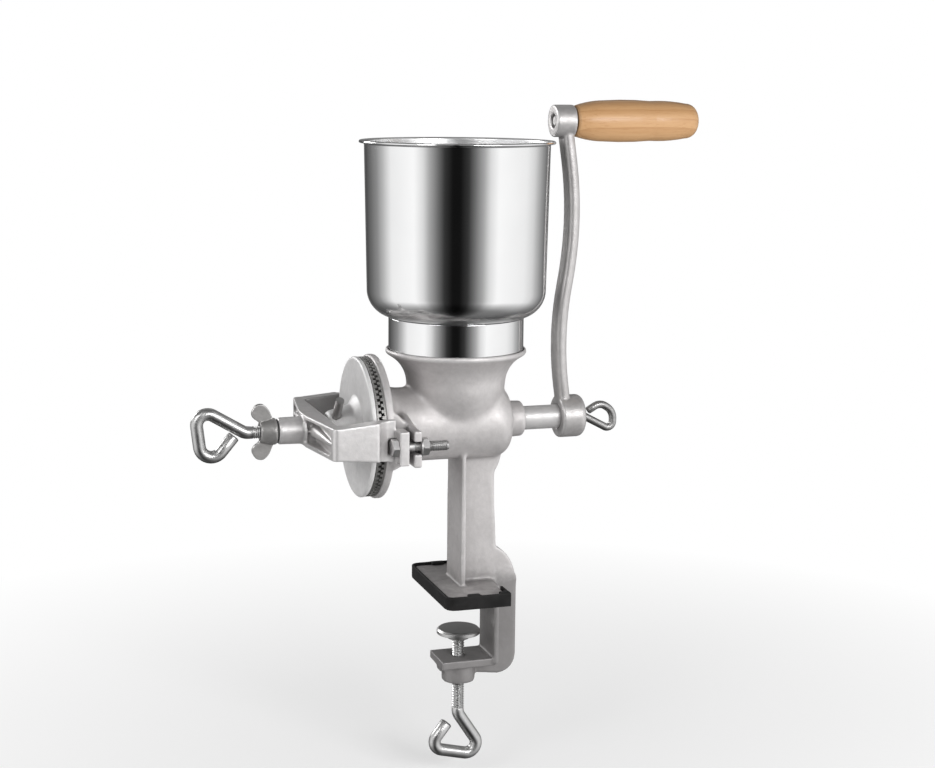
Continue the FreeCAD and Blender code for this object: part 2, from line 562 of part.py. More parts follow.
# ---------------------------------------------------------------- rods bent into eyes
def rod(b, name, r, pts, radii, plane="XZ_Plane", cap="YZ_Plane"):
    """A round rod along straight runs joined by tangent arcs. pts start on the cap plane's axis."""
    P = [V(q(x).v, q(y).v, 0) for x, y in pts]
    path, arcs = [pts[0]], {}
    for i in range(1, len(P) - 1):
        u = (P[i - 1] - P[i]).normalize()
        v = (P[i + 1] - P[i]).normalize()
        half = math.acos(max(-1, min(1, u.dot(v)))) / 2
        t = radii[i - 1] / math.tan(half)
        turn = 1 if (-u).cross(v).z > 0 else -1
        arcs[len(path)] = (radii[i - 1], turn)
        path.append((pts[i][0] + u.x * t, pts[i][1] + u.y * t))
        path.append((pts[i][0] + v.x * t, pts[i][1] + v.y * t))
    path.append(pts[-1])
    sp = outline(sketch(b, name + "_path", plane), path, arcs, closed=False)
    x0 = pts[0][0] if cap == "YZ_Plane" else pts[0][1]
    sc = circle(sketch(b, name + "_section", cap, x0), 0, 0, r)
    f = b.newObject("PartDesign::AdditivePipe", name)
    f.Profile = sc
    f.Spine = (sp, [])
    return f


b = body("adjusting_screw")
tip = 1.85 - d.disc_hub_end - d.ball_rad * 2
rod(b, "adjust_rod", d.adj_rod, [(tip, 0), (-163, 0), (-200.3, 22.4), (-194.2, -29.8), (-171.0, -2.0)], [9.0, 8.0, 9.0])
node(place(b))

b = body("wing_nut")
turned(b, "nut_hub", [(-d.wing_face, d.adj_rod + 0.2), (-d.wing_face, 9.2), (-d.wing_face - 1, 10), (-d.wing_face - 4, 9.6), (1 - d.wing_end, 7.8), (-d.wing_end, 7.0), (-d.wing_end, d.adj_rod + 0.2)])
wn = sketch(b, "wing_outline")
for s in (1, -1):
    outline(wn, [(-140.6, s * 6), (-144.5, s * 15.5), (-148.5, s * 20.2), (-152.5, s * 20.8), (-156.6, s * 17.6), (-157.8, s * 12.8), (-154.5, s * 9.0), (-151.2, s * 6)],
            {1: (14.0, s), 2: (4.5, s), 3: (5.0, s), 4: (6.0, s), 5: (6.0, s)})
pad(b, "wings", wn, 4.2)
node(place(b))
node(place(cut("lock_washer", cyl("lock_washer_disc", 8.8, d.wing_face - d.yoke_boss_end - 0.1, (0.05 - d.wing_face, 0, 0), "x"),
               cyl("lock_washer_hole", d.adj_rod + 0.2, 4, (-d.wing_face - 1, 0, 0), "x"))))

# ---------------------------------------------------------------- crank
b = body("crank_arm")
ci, cx2, ch = d.crank_in, d.crank_out, d.crank_hub_rad
turned(b, "crank_hub", [(ci, 0), (ci, ch - 1.2), (ci + 1.2, ch), (cx2 - 4.5, ch), (cx2, ch - 4.5), (cx2, 0)], {3: (4.5, -1)})
th, aw, ah = d.crank_throw, d.arm_thick, d.arm_wide
pts = [(87.9, 3), (87.9, 11), (80.6, 62), (96.0, 154), (85.6, th - 3)]
P = [V(q(x).v, q(y).v, 0) for x, y in pts]
path, arcs = [pts[0]], {}
for i, r in zip((1, 2, 3), (90.0, 250.0, 285.0)):
    u, v2 = (P[i - 1] - P[i]).normalize(), (P[i + 1] - P[i]).normalize()
    t = r / math.tan(math.acos(u.dot(v2)) / 2)
    arcs[len(path)] = (r, 1 if (-u).cross(v2).z > 0 else -1)
    path += [(pts[i][0] + u.x * t, pts[i][1] + u.y * t), (pts[i][0] + v2.x * t, pts[i][1] + v2.y * t)]
path.append(pts[-1])
sp = outline(sketch(b, "arm_path"), path, arcs, closed=False)
c3 = 4.3
x0, x1, y1 = 87.9 - aw / 2, 87.9 + aw / 2, ah / 2
sec = outline(sketch(b, "arm_section", "XY_Plane", 3),
              [(x0 + c3, -y1), (x1 - c3, -y1), (x1, c3 - y1), (x1, y1 - c3), (x1 - c3, y1), (x0 + c3, y1), (x0, y1 - c3), (x0, c3 - y1)],
              {1: (c3, 1), 3: (c3, 1), 5: (c3, 1), 7: (c3, 1)})
arm = b.newObject("PartDesign::AdditivePipe", "arm")
arm.Profile = sec
arm.Spine = (sp, [])
br = d.boss_rad
bs = circle(sketch(b, "boss_circle", "YZ_Plane", d.boss_in), 0, th, br)
pad(b, "boss", bs, d.boss_out - d.boss_in, middle=False)
rs = circle(sketch(b, "rivet_recess_circle", "YZ_Plane", d.boss_in), 0, th, 5.0)
pocket(b, "rivet_recess", rs, 3.0, back=True)
gs = circle(sketch(b, "spindle_circle", "YZ_Plane", d.boss_in - 1), 0, th, d.spindle_rad + 0.05)
pocket(b, "spindle_hole", gs, 30, back=True)
turned(b, "hub_bore", [(ci - 1, 0), (ci - 1, sh + 0.05), (cx2 - 1.9, sh + 0.05), (cx2 - 1.9, d.thumb_rod + 0.2), (cx2 + 1, d.thumb_rod + 0.2), (cx2 + 1, 0)], cut=True)
node(place(b, rot=TILT))

b = body("thumb_screw")
rod(b, "thumb_rod_bent", d.thumb_rod, [(ci + 8, 0), (104.0, 0), (130.0, -13.8), (130.6, 1.8), (119.3, 9.0), (109.0, 2.95)], [4.0, 4.5, 6.0, 5.0])
node(place(b, rot=TILT))

b = body("grip_spindle")
sr2 = d.spindle_rad
ge = d.grip_start + d.grip_long
turned(b, "spindle", [(d.boss_in + 1.2, 0), (d.boss_in + 1.2, 3.2), (d.boss_in + 2.0, sr2),
                      (ge - 5.6, sr2), (ge - 5.6, 6.4), (ge - 2.6, 6.4), (ge - 1.8, 5.0), (ge - 1.8, 0)])
bind(b, "Placement.Base.y", d.crank_throw * math.sin(math.radians(d.crank_tilt.v)))
bind(b, "Placement.Base.z", d.shaft_z + d.crank_throw * math.cos(math.radians(d.crank_tilt.v)))
node(b)
ty, tz = d.crank_throw * math.sin(math.radians(d.crank_tilt.v)), d.shaft_z + d.crank_throw * math.cos(math.radians(d.crank_tilt.v))
wsh = cut("grip_washer", cyl("grip_washer_disc", 9.2, d.grip_start - d.boss_out - 0.35, (d.boss_out, ty, tz), "x"), cyl("grip_washer_hole", sr2 + 0.05, 6, (d.boss_out - 1, ty, tz), "x"))
node(wsh)
b = body("wooden_grip")
g0 = d.grip_start
turned(b, "grip", [(g0, sr2 + 0.1), (g0, 10.6), (g0 + 1.4, 12.0), (g0 + 24, 15.6), (g0 + 62, 15.2), (g0 + 92, 13.4), (ge - 0.6, 9.6), (ge, 8.6), (ge, 7.2), (ge - 5.9, 7.2), (ge - 5.9, sr2 + 0.1)],
       {2: (78.0, -1), 3: (260.0, -1), 4: (130.0, -1), 5: (9.0, -1)})
bind(b, "Placement.Base.y", ty)
bind(b, "Placement.Base.z", tz)
node(b)

# ---------------------------------------------------------------- foot boot
b = body("foot_boot")
bw, fl2, fr, fh = d.boot_wall, d.foot_left, d.foot_right, d.foot_half
oc = 7.0
pad(b, "boot_block", outline(sketch(b, "boot_outline", "XY_Plane"),
    [(oc - fl2 - bw, -fh - bw), (fr + bw, -fh - bw), (fr + bw, -30), (fr - 0.6, -30), (fr - 0.6, 30), (fr + bw, 30), (fr + bw, fh + bw), (oc - fl2 - bw, fh + bw),
     (-fl2 - bw, fh + bw - oc), (-fl2 - bw, oc - fh - bw)], {7: (oc, 1), 9: (oc, 1)}), d.boot_high, middle=False)
cav = outline(sketch(b, "boot_cavity", "XY_Plane", d.boot_floor),
              [(4.9 - fl2, -fh - 0.1), (fr + 0.1, -fh - 0.1), (fr + 0.1, fh + 0.1), (4.9 - fl2, fh + 0.1), (-fl2 - 0.1, fh - 4.9), (-fl2 - 0.1, 4.9 - fh)],
              {3: (5.0, 1), 5: (5.0, 1)})
pocket(b, "boot_hollow", cav, d.boot_high, back=True)
tabs = sketch(b, "tab_outline", "XY_Plane", d.boot_floor + d.foot_thick + 0.05)
for s in (1, -1):
    rect(tabs, -4, s * (fh - 4.5), 6, s * (fh + bw))
    rect(tabs, fr - 6, s * (fh - 5), fr + bw, s * (fh + bw))
pad(b, "tabs", tabs, 2.2, middle=False)
node(b)

# ---------------------------------------------------------------- screw clamp
cxp = d.clamp_x
b = body("clamp_screw")
bl = rod(b, "clamp_rod_bent", d.clamp_rod, [(0, -d.pad_top - 3.5), (0, -d.clamp_eye), (25.0, -d.clamp_eye - 38.5), (-24.0, -d.clamp_eye - 26.5), (-9.0, -d.clamp_eye - 7.0)], [9.0, 8.0, 7.0], cap="XY_Plane")
turned(b, "ring_groove", [(3.7, -d.pad_top - 4.9), (6, -d.pad_top - 4.9), (6, -d.pad_top - 6.1), (3.7, -d.pad_top - 6.1)], axis="V_Axis", cut=True)
bind(b, "Placement.Base.x", cxp)
node(b)
b = body("clamp_pad")
pt = -d.pad_top
turned(b, "pad_turn", [(0, pt), (d.pad_rad - 1.5, pt), (d.pad_rad, pt - 1.5), (d.pad_rad, pt - d.pad_thick), (10, pt - d.pad_thick), (8.6, pt - d.pad_thick - d.pad_boss), (d.clamp_rod + 0.1, pt - d.pad_thick - d.pad_boss),
                       (d.clamp_rod + 0.1, pt - 6.3), (6.2, pt - 6.3), (6.2, pt - 4.7), (d.clamp_rod + 0.1, pt - 4.7), (d.clamp_rod + 0.1, pt - 3.4), (0, pt - 3.4)], axis="V_Axis")
bind(b, "Placement.Base.x", cxp)
node(b)
b = body("clamp_pad_ring")
rg = sketch(b, "ring_circle")
circle(rg, 4.95, pt - 5.5, 0.5)
f = b.newObject("PartDesign::Revolution", "snap_ring")
f.Profile = rg
f.ReferenceAxis = (rg, ["V_Axis"])
f.Angle = 325
bind(b, "Placement.Base.x", cxp)
node(b)

doc.recompute()
bad = [o.Name + ":" + ",".join(o.State) for o in doc.Objects if "Invalid" in o.State or "Error" in o.State]
for o in NODES:
    s = o.Shape
    if s.isNull() or not s.isValid() or not s.Solids:
        bad.append(o.Label + ": shape")
    else:
        bb = s.BoundBox
        print("%-22s solids %d vol %9.1f  x %7.2f %7.2f  y %7.2f %7.2f  z %7.2f %7.2f" % (
            o.Label, len(s.Solids), s.Volume, bb.XMin, bb.XMax, bb.YMin, bb.YMax, bb.ZMin, bb.ZMax))
if bad:
    raise RuntimeError("failed: " + "; ".join(bad))
os.makedirs("parts", exist_ok=True)
for o in NODES:
    o.Shape.exportStep("parts/%s.step" % o.Label)
print("nodes", len(NODES))
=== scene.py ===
import json
import math

import bpy
import numpy as np
from mathutils import Matrix, Vector


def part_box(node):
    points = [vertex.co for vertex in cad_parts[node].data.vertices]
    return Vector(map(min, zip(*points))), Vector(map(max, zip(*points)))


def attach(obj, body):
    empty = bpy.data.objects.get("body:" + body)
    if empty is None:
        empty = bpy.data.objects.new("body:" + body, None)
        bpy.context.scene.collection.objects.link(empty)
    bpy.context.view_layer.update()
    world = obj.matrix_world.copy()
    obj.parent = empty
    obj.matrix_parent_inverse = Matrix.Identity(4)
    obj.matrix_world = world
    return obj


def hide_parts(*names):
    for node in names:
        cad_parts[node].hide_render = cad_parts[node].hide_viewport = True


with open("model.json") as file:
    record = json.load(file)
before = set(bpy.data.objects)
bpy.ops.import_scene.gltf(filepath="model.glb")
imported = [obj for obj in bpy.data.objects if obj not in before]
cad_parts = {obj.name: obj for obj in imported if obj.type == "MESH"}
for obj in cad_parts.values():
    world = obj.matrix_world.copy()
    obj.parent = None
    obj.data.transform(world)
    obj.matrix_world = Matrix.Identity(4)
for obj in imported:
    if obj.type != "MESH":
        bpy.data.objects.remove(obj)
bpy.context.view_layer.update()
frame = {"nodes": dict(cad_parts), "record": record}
nodes = frame["nodes"]
scene = bpy.context.scene
scene.view_settings.view_transform = "Standard"
scene.view_settings.look = "None"

MM = 0.001
SZ = 134.5  # height of the shaft's axis over the seat, mm
BODY_OF = {n: b for b, ns in frame["record"]["behaviour"]["bodies"].items() for n in ns}


# ------------------------------------------------------------------ camera
fw = Vector((0.30704, 0.93607, -0.17176)).normalized()
side = fw.cross(Vector((0, 0, 1))).normalized()
up = side.cross(fw).normalized()
roll = math.radians(0.54)
r2 = side * math.cos(roll) + up * math.sin(roll)
u2 = up * math.cos(roll) - side * math.sin(roll)
cam_data = bpy.data.cameras.new("camera")
cam_data.sensor_width = 36.0
cam_data.lens = 67.6
cam_data.clip_start, cam_data.clip_end = 0.05, 60.0
cam = bpy.data.objects.new("camera", cam_data)
scene.collection.objects.link(cam)
cam.matrix_world = Matrix((
    (r2.x, u2.x, -fw.x, -0.40280),
    (r2.y, u2.y, -fw.y, -1.25737),
    (r2.z, u2.z, -fw.z, 0.39394),
    (0, 0, 0, 1),
))
scene.camera = cam


# ------------------------------------------------------------------ node helpers
class Tree:
    """A material's node tree with short calls."""

    def __init__(self, name):
        self.m = bpy.data.materials.new(name)
        self.m.use_nodes = True
        self.nt = self.m.node_tree
        self.b = self.nt.nodes["Principled BSDF"]

    def new(self, kind, **sets):
        n = self.nt.nodes.new(kind)
        for k, v in sets.items():
            setattr(n, k, v)
        return n

    def link(self, a, b):
        self.nt.links.new(a, b)

    def coords(self, scale=(1, 1, 1), loc=(0, 0, 0), rot=(0, 0, 0)):
        t = self.new("ShaderNodeTexCoord")
        m = self.new("ShaderNodeMapping")
        m.inputs["Scale"].default_value = scale
        m.inputs["Location"].default_value = loc
        m.inputs["Rotation"].default_value = rot
        self.link(t.outputs["Object"], m.inputs["Vector"])
        return m.outputs["Vector"]

    def noise(self, scale, detail=3.0, rough=0.55, vec=None, distort=0.0):
        n = self.new("ShaderNodeTexNoise")
        n.inputs["Scale"].default_value = scale
        n.inputs["Detail"].default_value = detail
        n.inputs["Roughness"].default_value = rough
        n.inputs["Distortion"].default_value = distort
        self.link(vec if vec is not None else self.coords(), n.inputs["Vector"])
        return n.outputs["Fac"]

    def voronoi(self, scale, vec=None, feature="F1", out="Distance"):
        n = self.new("ShaderNodeTexVoronoi", feature=feature)
        n.inputs["Scale"].default_value = scale
        self.link(vec if vec is not None else self.coords(), n.inputs["Vector"])
        return n.outputs[out]

    def ramp(self, fac, stops, mode="LINEAR"):
        n = self.new("ShaderNodeValToRGB")
        n.color_ramp.interpolation = mode
        el = n.color_ramp.elements
        while len(el) < len(stops):
            el.new(0.5)
        for e, (p, c) in zip(el, stops):
            e.position = p
            e.color = (c, c, c, 1) if isinstance(c, (int, float)) else (*c, 1)
        self.link(fac, n.inputs["Fac"])
        return n.outputs["Color"]

    def mix(self, fac, a, b, kind="MIX"):
        n = self.new("ShaderNodeMix", data_type="RGBA", blend_type=kind)
        for val, key in ((fac, 0), (a, 6), (b, 7)):
            if hasattr(val, "links") or hasattr(val, "is_linked"):
                self.link(val, n.inputs[key])
            elif key == 0:
                n.inputs[key].default_value = val
            else:
                n.inputs[key].default_value = (*val, 1) if not isinstance(val, (int, float)) else (val, val, val, 1)
        return n.outputs[2]

    def math(self, op, a, b=None, clamp=False):
        n = self.new("ShaderNodeMath", operation=op, use_clamp=clamp)
        for val, key in ((a, 0), (b, 1)):
            if val is None:
                continue
            if hasattr(val, "is_linked"):
                self.link(val, n.inputs[key])
            else:
                n.inputs[key].default_value = val
        return n.outputs[0]

    def span(self, val, lo, hi, a=0.0, b=1.0):
        n = self.new("ShaderNodeMapRange")
        n.inputs["From Min"].default_value = a
        n.inputs["From Max"].default_value = b
        n.inputs["To Min"].default_value = lo
        n.inputs["To Max"].default_value = hi
        self.link(val, n.inputs["Value"])
        return n.outputs["Result"]

    def bump(self, heights):
        """Stacks bumps, given as (height, strength, distance in metres)."""
        last = None
        for h, s, dist in heights:
            n = self.new("ShaderNodeBump")
            n.inputs["Strength"].default_value = s
            n.inputs["Distance"].default_value = dist
            self.link(h, n.inputs["Height"])
            if last is not None:
                self.link(last, n.inputs["Normal"])
            last = n.outputs["Normal"]
        self.link(last, self.b.inputs["Normal"])

    def set(self, **vals):
        for k, v in vals.items():
            s = self.b.inputs[k.replace("_", " ")]
            if hasattr(v, "is_linked"):
                self.link(v, s)
            else:
                s.default_value = (*v, 1) if isinstance(v, tuple) and len(v) == 3 else v


# ------------------------------------------------------------------ materials
def cast_metal(name, low, high, rough, metal=0.58, grain=1.0, base_shade=None, hollow_shade=0.50, inner_face_shade=0.0):
    """Tinned sand casting: a satin skin with sand grain, cloudy flow marks and rubbed edges, with painted shade in
    creases, in hollows, on faces turned to the mid plane and towards the bottom. The painted shade towards the bottom
    is given as (height it ends at, height it starts at), in metres.
    """
    t = Tree(name)
    broad = t.noise(34, 4, 0.6)
    cloud = t.noise(110, 4, 0.65, distort=0.6)
    mid = t.noise(300, 4, 0.6)
    fine = t.noise(1500, 2, 0.6)
    geo = t.new("ShaderNodeNewGeometry")
    edge = t.ramp(geo.outputs["Pointiness"], [(0.44, 0.0), (0.495, 0.45), (0.56, 1.0)])
    col = t.mix(t.ramp(broad, [(0.3, 0.0), (0.7, 1.0)]), low, high)
    col = t.mix(t.math("MULTIPLY", t.ramp(cloud, [(0.40, 1.0), (0.60, 0.0)]), 0.15 * grain), col, tuple(c * 0.66 for c in low))
    col = t.mix(t.math("MULTIPLY", t.ramp(mid, [(0.40, 0.0), (0.68, 1.0)]), 0.22), col, tuple(min(1.0, c * 1.22) for c in high))
    # painted shade: creases (low pointiness) are darkened as if shadowed; the next line lightens raised edges as rubbed
    # wear
    col = t.mix(t.math("MULTIPLY", t.ramp(edge, [(0.0, 1.0), (0.45, 0.0)]), 0.55), col, tuple(c * 0.4 for c in low))
    col = t.mix(t.math("MULTIPLY", t.ramp(edge, [(0.5, 0.0), (1.0, 1.0)]), 0.30), col, (0.86, 0.86, 0.86))
    # painted shade: surfaces in hollows are darkened by ambient occlusion, as shadow falls there
    hollow = t.new("ShaderNodeAmbientOcclusion", samples=12)
    hollow.inputs["Distance"].default_value = 0.028
    hollow_shade_mask = t.ramp(hollow.outputs["AO"], [(0.25, 1.0), (0.85, 0.0)])
    col = t.mix(t.math("MULTIPLY", hollow_shade_mask, hollow_shade), col, tuple(c * 0.34 for c in low))
    if inner_face_shade:  # painted shade: faces turned to the mid plane are darkened, as they lie in the shadow of the arms
        tex = t.new("ShaderNodeTexCoord")
        place, facing = t.new("ShaderNodeSeparateXYZ"), t.new("ShaderNodeSeparateXYZ")
        t.link(tex.outputs["Object"], place.inputs[0])
        t.link(tex.outputs["Normal"], facing.inputs[0])
        inner = t.span(t.math("MULTIPLY", place.outputs["Y"], facing.outputs["Y"]), inner_face_shade, 0.0, -0.034, -0.012)
        col = t.mix(inner, col, tuple(c * 0.30 for c in low))
    # painted shade: darker towards the bottom, where shadow falls near the seat
    if base_shade is not None:
        part = t.new("ShaderNodeSeparateXYZ")
        t.link(t.coords(), part.inputs[0])
        depth = t.math("ADD", part.outputs["Z"], t.span(cloud, -0.003, 0.003, 0.3, 0.7))
        col = t.mix(t.span(depth, 0.72, 0.0, base_shade[0], base_shade[1]), col, tuple(c * 0.34 for c in low))
    ro = t.math("ADD", t.span(mid, rough - 0.06, rough + 0.08, 0.3, 0.7), t.span(cloud, 0.05, -0.04, 0.35, 0.65))
    t.set(Base_Color=col, Metallic=metal, Roughness=ro)
    t.bump([(broad, 0.12 * grain, 0.0014), (cloud, 0.16 * grain, 0.0006), (mid, 0.36 * grain, 0.00030), (fine, 0.28 * grain, 0.00007)])
    return t.m


def polished_steel(name, dull=None):
    """Polished sheet: near mirror outside and satin inside, with faint buffing lines round the axis and soft smears. dull is (height it is full at, height it ends at), in metres."""
    t = Tree(name)
    smear = t.noise(16, 3, 0.5)
    lines = t.noise(30, 3, 0.6, t.coords(scale=(1, 1, 70)))
    hair = t.noise(60, 2, 0.6, t.coords(scale=(2, 2, 160), loc=(1, 2, 0)))
    ro = t.math("ADD", t.span(smear, 0.06, 0.105, 0.3, 0.7), t.span(hair, -0.012, 0.02, 0.3, 0.7))
    col = t.mix(t.ramp(smear, [(0.3, 0.0), (0.75, 1.0)]), (0.87, 0.872, 0.875), (0.93, 0.93, 0.93))
    at_part = t.new("ShaderNodeSeparateXYZ")
    t.link(t.coords(), at_part.inputs[0])
    geo = t.new("ShaderNodeNewGeometry")
    to_part = t.new("ShaderNodeSeparateXYZ")
    t.link(geo.outputs["Normal"], to_part.inputs[0])
    outward = t.math("ADD", t.math("MULTIPLY", at_part.outputs["X"], to_part.outputs["X"]), t.math("MULTIPLY", at_part.outputs["Y"], to_part.outputs["Y"]))
    ro = t.math("ADD", ro, t.span(outward, 0.24, 0.0, -0.012, 0.0))
    if dull is not None:
        ro = t.math("ADD", ro, t.span(at_part.outputs["Z"], 0.26, 0.0, dull[0], dull[1]))
    t.set(Base_Color=col, Metallic=1.0, Roughness=ro)
    t.bump([(lines, 0.035, 0.00004), (hair, 0.03, 0.00002)])
    return t.m


def plated(name, base, rough, scale=1.0):
    """Bright zinc plate over drawn rod: slight spangle and a fine grain."""
    t = Tree(name)
    broad = t.noise(70 * scale, 3, 0.6)
    spang = t.voronoi(700 * scale, out="Color")
    fine = t.noise(1500, 2, 0.6)
    grey = t.new("ShaderNodeRGBToBW")
    t.link(spang, grey.inputs["Color"])
    col = t.mix(t.ramp(broad, [(0.3, 0.0), (0.7, 1.0)]), tuple(c * 0.84 for c in base), base)
    col = t.mix(t.math("MULTIPLY", grey.outputs[0], 0.16), col, (0.93, 0.94, 0.95))
    geo = t.new("ShaderNodeNewGeometry")
    # darker in hollows such as thread roots, going by pointiness
    hollow_darkening = t.ramp(geo.outputs["Pointiness"], [(0.42, 1.0), (0.49, 0.0)])
    col = t.mix(t.math("MULTIPLY", hollow_darkening, 0.55), col, tuple(c * 0.35 for c in base))
    ro = t.math("ADD", t.span(broad, rough - 0.05, rough + 0.08, 0.3, 0.7), t.span(fine, -0.03, 0.04, 0.3, 0.7))
    t.set(Base_Color=col, Metallic=1.0, Roughness=ro)
    t.bump([(fine, 0.16, 0.00004), (broad, 0.08, 0.0003)])
    return t.m


def turned_steel(name, base, rough, axis):
    """Lathe-turned steel: tool marks run round the axis."""
    t = Tree(name)
    sc = {"x": (900, 3, 3), "y": (3, 900, 3), "z": (3, 3, 900)}[axis]
    lines = t.noise(1.0, 2, 0.7, t.coords(scale=sc))
    broad = t.noise(60, 3, 0.6)
    col = t.mix(t.ramp(broad, [(0.3, 0.0), (0.7, 1.0)]), tuple(c * 0.82 for c in base), base)
    col = t.mix(t.math("MULTIPLY", t.ramp(lines, [(0.35, 0.0), (0.7, 1.0)]), 0.2), col, tuple(min(1, c * 1.2) for c in base))
    t.set(Base_Color=col, Metallic=1.0, Roughness=t.span(lines, rough - 0.06, rough + 0.1, 0.3, 0.7))
    t.bump([(lines, 0.22, 0.00006)])
    return t.m


def burr_iron(name):
    """Hard cast plates: dull grey iron with random lighter flecks."""
    t = Tree(name)
    broad = t.noise(60, 4, 0.6)
    fine = t.noise(1300, 3, 0.65)
    geo = t.new("ShaderNodeNewGeometry")
    col = t.mix(t.ramp(broad, [(0.3, 0.0), (0.7, 1.0)]), (0.27, 0.265, 0.26), (0.42, 0.415, 0.405))
    col = t.mix(t.math("MULTIPLY", t.ramp(fine, [(0.4, 0.0), (0.7, 1.0)]), 0.3), col, (0.56, 0.55, 0.53))
    t.set(Base_Color=col, Metallic=0.9, Roughness=t.span(fine, 0.4, 0.6, 0.3, 0.7))
    t.bump([(fine, 0.35, 0.0001)])
    return t.m


def black_rubber(name):
    """Moulded rubber: fine matte grain, scuffed a little on raised edges."""
    t = Tree(name)
    fine = t.noise(1900, 2, 0.6)
    broad = t.noise(70, 4, 0.6)
    geo = t.new("ShaderNodeNewGeometry")
    edge = t.ramp(geo.outputs["Pointiness"], [(0.5, 0.0), (0.6, 1.0)])
    col = t.mix(t.ramp(broad, [(0.35, 0.0), (0.7, 1.0)]), (0.006, 0.0058, 0.0058), (0.013, 0.0125, 0.0125))
    col = t.mix(t.math("MULTIPLY", edge, 0.30), col, (0.045, 0.044, 0.043))
    t.set(Base_Color=col, Roughness=t.span(fine, 0.58, 0.76, 0.3, 0.7), Specular_IOR_Level=0.26)
    t.bump([(fine, 0.25, 0.00008), (broad, 0.1, 0.0004)])
    return t.m


def fibre(name):
    """Pressed black fibre washer."""
    t = Tree(name)
    fine = t.noise(1400, 3, 0.7)
    col = t.mix(t.ramp(fine, [(0.35, 0.0), (0.7, 1.0)]), (0.010, 0.010, 0.011), (0.035, 0.034, 0.033))
    t.set(Base_Color=col, Roughness=t.span(fine, 0.55, 0.75, 0.3, 0.7))
    t.bump([(fine, 0.3, 0.00008)])
    return t.m


def varnished_wood(name):
    """Pale turned hardwood: rings and rays drawn out along the handle, under clear varnish."""
    t = Tree(name)
    warp = t.noise(9, 3, 0.5, t.coords(scale=(0.35, 1, 1)))
    vec = t.coords(scale=(0.10, 1, 1), loc=(0, 0.021, -0.338))
    w = t.new("ShaderNodeTexWave", wave_type="RINGS", rings_direction="X", wave_profile="SAW")
    w.inputs["Scale"].default_value = 46
    w.inputs["Distortion"].default_value = 2.6
    w.inputs["Detail"].default_value = 3.0
    w.inputs["Detail Scale"].default_value = 1.4
    t.link(vec, w.inputs["Vector"])
    rings = w.outputs["Fac"]
    streak = t.noise(1.0, 4, 0.65, t.coords(scale=(22, 620, 620)))
    rays = t.ramp(t.noise(1.0, 2, 0.5, t.coords(scale=(120, 1500, 1500), loc=(4, 9, 2))), [(0.60, 0.0), (0.68, 1.0)])
    col = t.mix(t.ramp(rings, [(0.0, 0.0), (0.75, 0.45), (1.0, 1.0)]), (0.44, 0.258, 0.122), (0.33, 0.172, 0.070))
    col = t.mix(t.math("MULTIPLY", t.ramp(streak, [(0.35, 0.0), (0.7, 1.0)]), 0.42), col, (0.50, 0.312, 0.160))
    col = t.mix(t.math("MULTIPLY", rays, 0.4), col, (0.29, 0.135, 0.048))
    col = t.mix(t.math("MULTIPLY", t.ramp(warp, [(0.35, 0.0), (0.7, 1.0)]), 0.22), col, (0.38, 0.195, 0.074))
    t.set(Base_Color=col, Roughness=t.span(streak, 0.36, 0.5, 0.3, 0.7), Coat_Weight=0.35, Coat_Roughness=0.22)
    t.bump([(streak, 0.12, 0.00012), (rays, -0.08, 0.00008)])
    return t.m


MATS = {
    "cast": cast_metal("tinned_casting", (0.505, 0.486, 0.483), (0.615, 0.594, 0.591), 0.50, metal=0.62, base_shade=(0.004, 0.018)),
    "cast_yoke": cast_metal("tinned_yoke", (0.62, 0.605, 0.602), (0.74, 0.723, 0.72), 0.43, metal=0.70, hollow_shade=0.16, inner_face_shade=0.75),
    "cast_crank": cast_metal("tinned_crank", (0.46, 0.445, 0.44), (0.585, 0.57, 0.565), 0.40, metal=0.70),
    "cast_disc": cast_metal("tinned_disc", (0.66, 0.652, 0.65), (0.76, 0.752, 0.75), 0.54, metal=0.5, grain=0.55),
    "cast_dark": cast_metal("tinned_wing", (0.29, 0.283, 0.277), (0.41, 0.402, 0.395), 0.38, metal=0.70, grain=1.3),
    "steel": polished_steel("polished_steel"),
    "steel_bowl": polished_steel("polished_bowl", dull=(0.2165, 0.2310)),
    "rod": plated("plated_rod", (0.64, 0.637, 0.632), 0.34),
    "rod_dull": plated("dull_rod", (0.47, 0.463, 0.457), 0.40),
    "zinc": plated("zinc_fastener", (0.60, 0.592, 0.587), 0.44, 1.4),
    "shaft": turned_steel("turned_shaft", (0.55, 0.54, 0.535), 0.46, "x"),
    "cast_shaft": cast_metal("tinned_shaft", (0.50, 0.487, 0.484), (0.59, 0.575, 0.572), 0.46, metal=0.66, grain=0.3, hollow_shade=0.3),
    "pin": turned_steel("turned_pin", (0.50, 0.49, 0.485), 0.38, "z"),
    "pad": turned_steel("turned_pad", (0.60, 0.595, 0.59), 0.36, "z"),
    "burr": burr_iron("burr_iron"),
    "rubber": black_rubber("moulded_rubber"),
    "fibre": fibre("black_fibre"),
    "wood": varnished_wood("varnished_wood"),
}


# ------------------------------------------------------------------ mesh helpers
def adopt(name, me, node, mat, sharp=None):
    """A new piece that stands for a node and moves with the node's body."""
    for p in me.polygons:
        p.use_smooth = True
    if sharp is not None:
        me.set_sharp_from_angle(angle=math.radians(sharp))
    me.materials.clear()
    me.materials.append(MATS[mat])
    o = bpy.data.objects.new(name, me)
    scene.collection.objects.link(o)
    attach(o, BODY_OF[node])
    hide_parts(node)
    return o


def baked(o, name):
    """The object's mesh after its modifiers; the object goes."""
    dg = bpy.context.evaluated_depsgraph_get()
    me = bpy.data.meshes.new_from_object(o.evaluated_get(dg))
    me.name = name
    old = o.data
    bpy.data.objects.remove(o)
    bpy.data.meshes.remove(old)
    return me


def read_mm(me):
    co = np.empty(len(me.vertices) * 3)
    me.vertices.foreach_get("co", co)
    return co.reshape(-1, 3) / MM


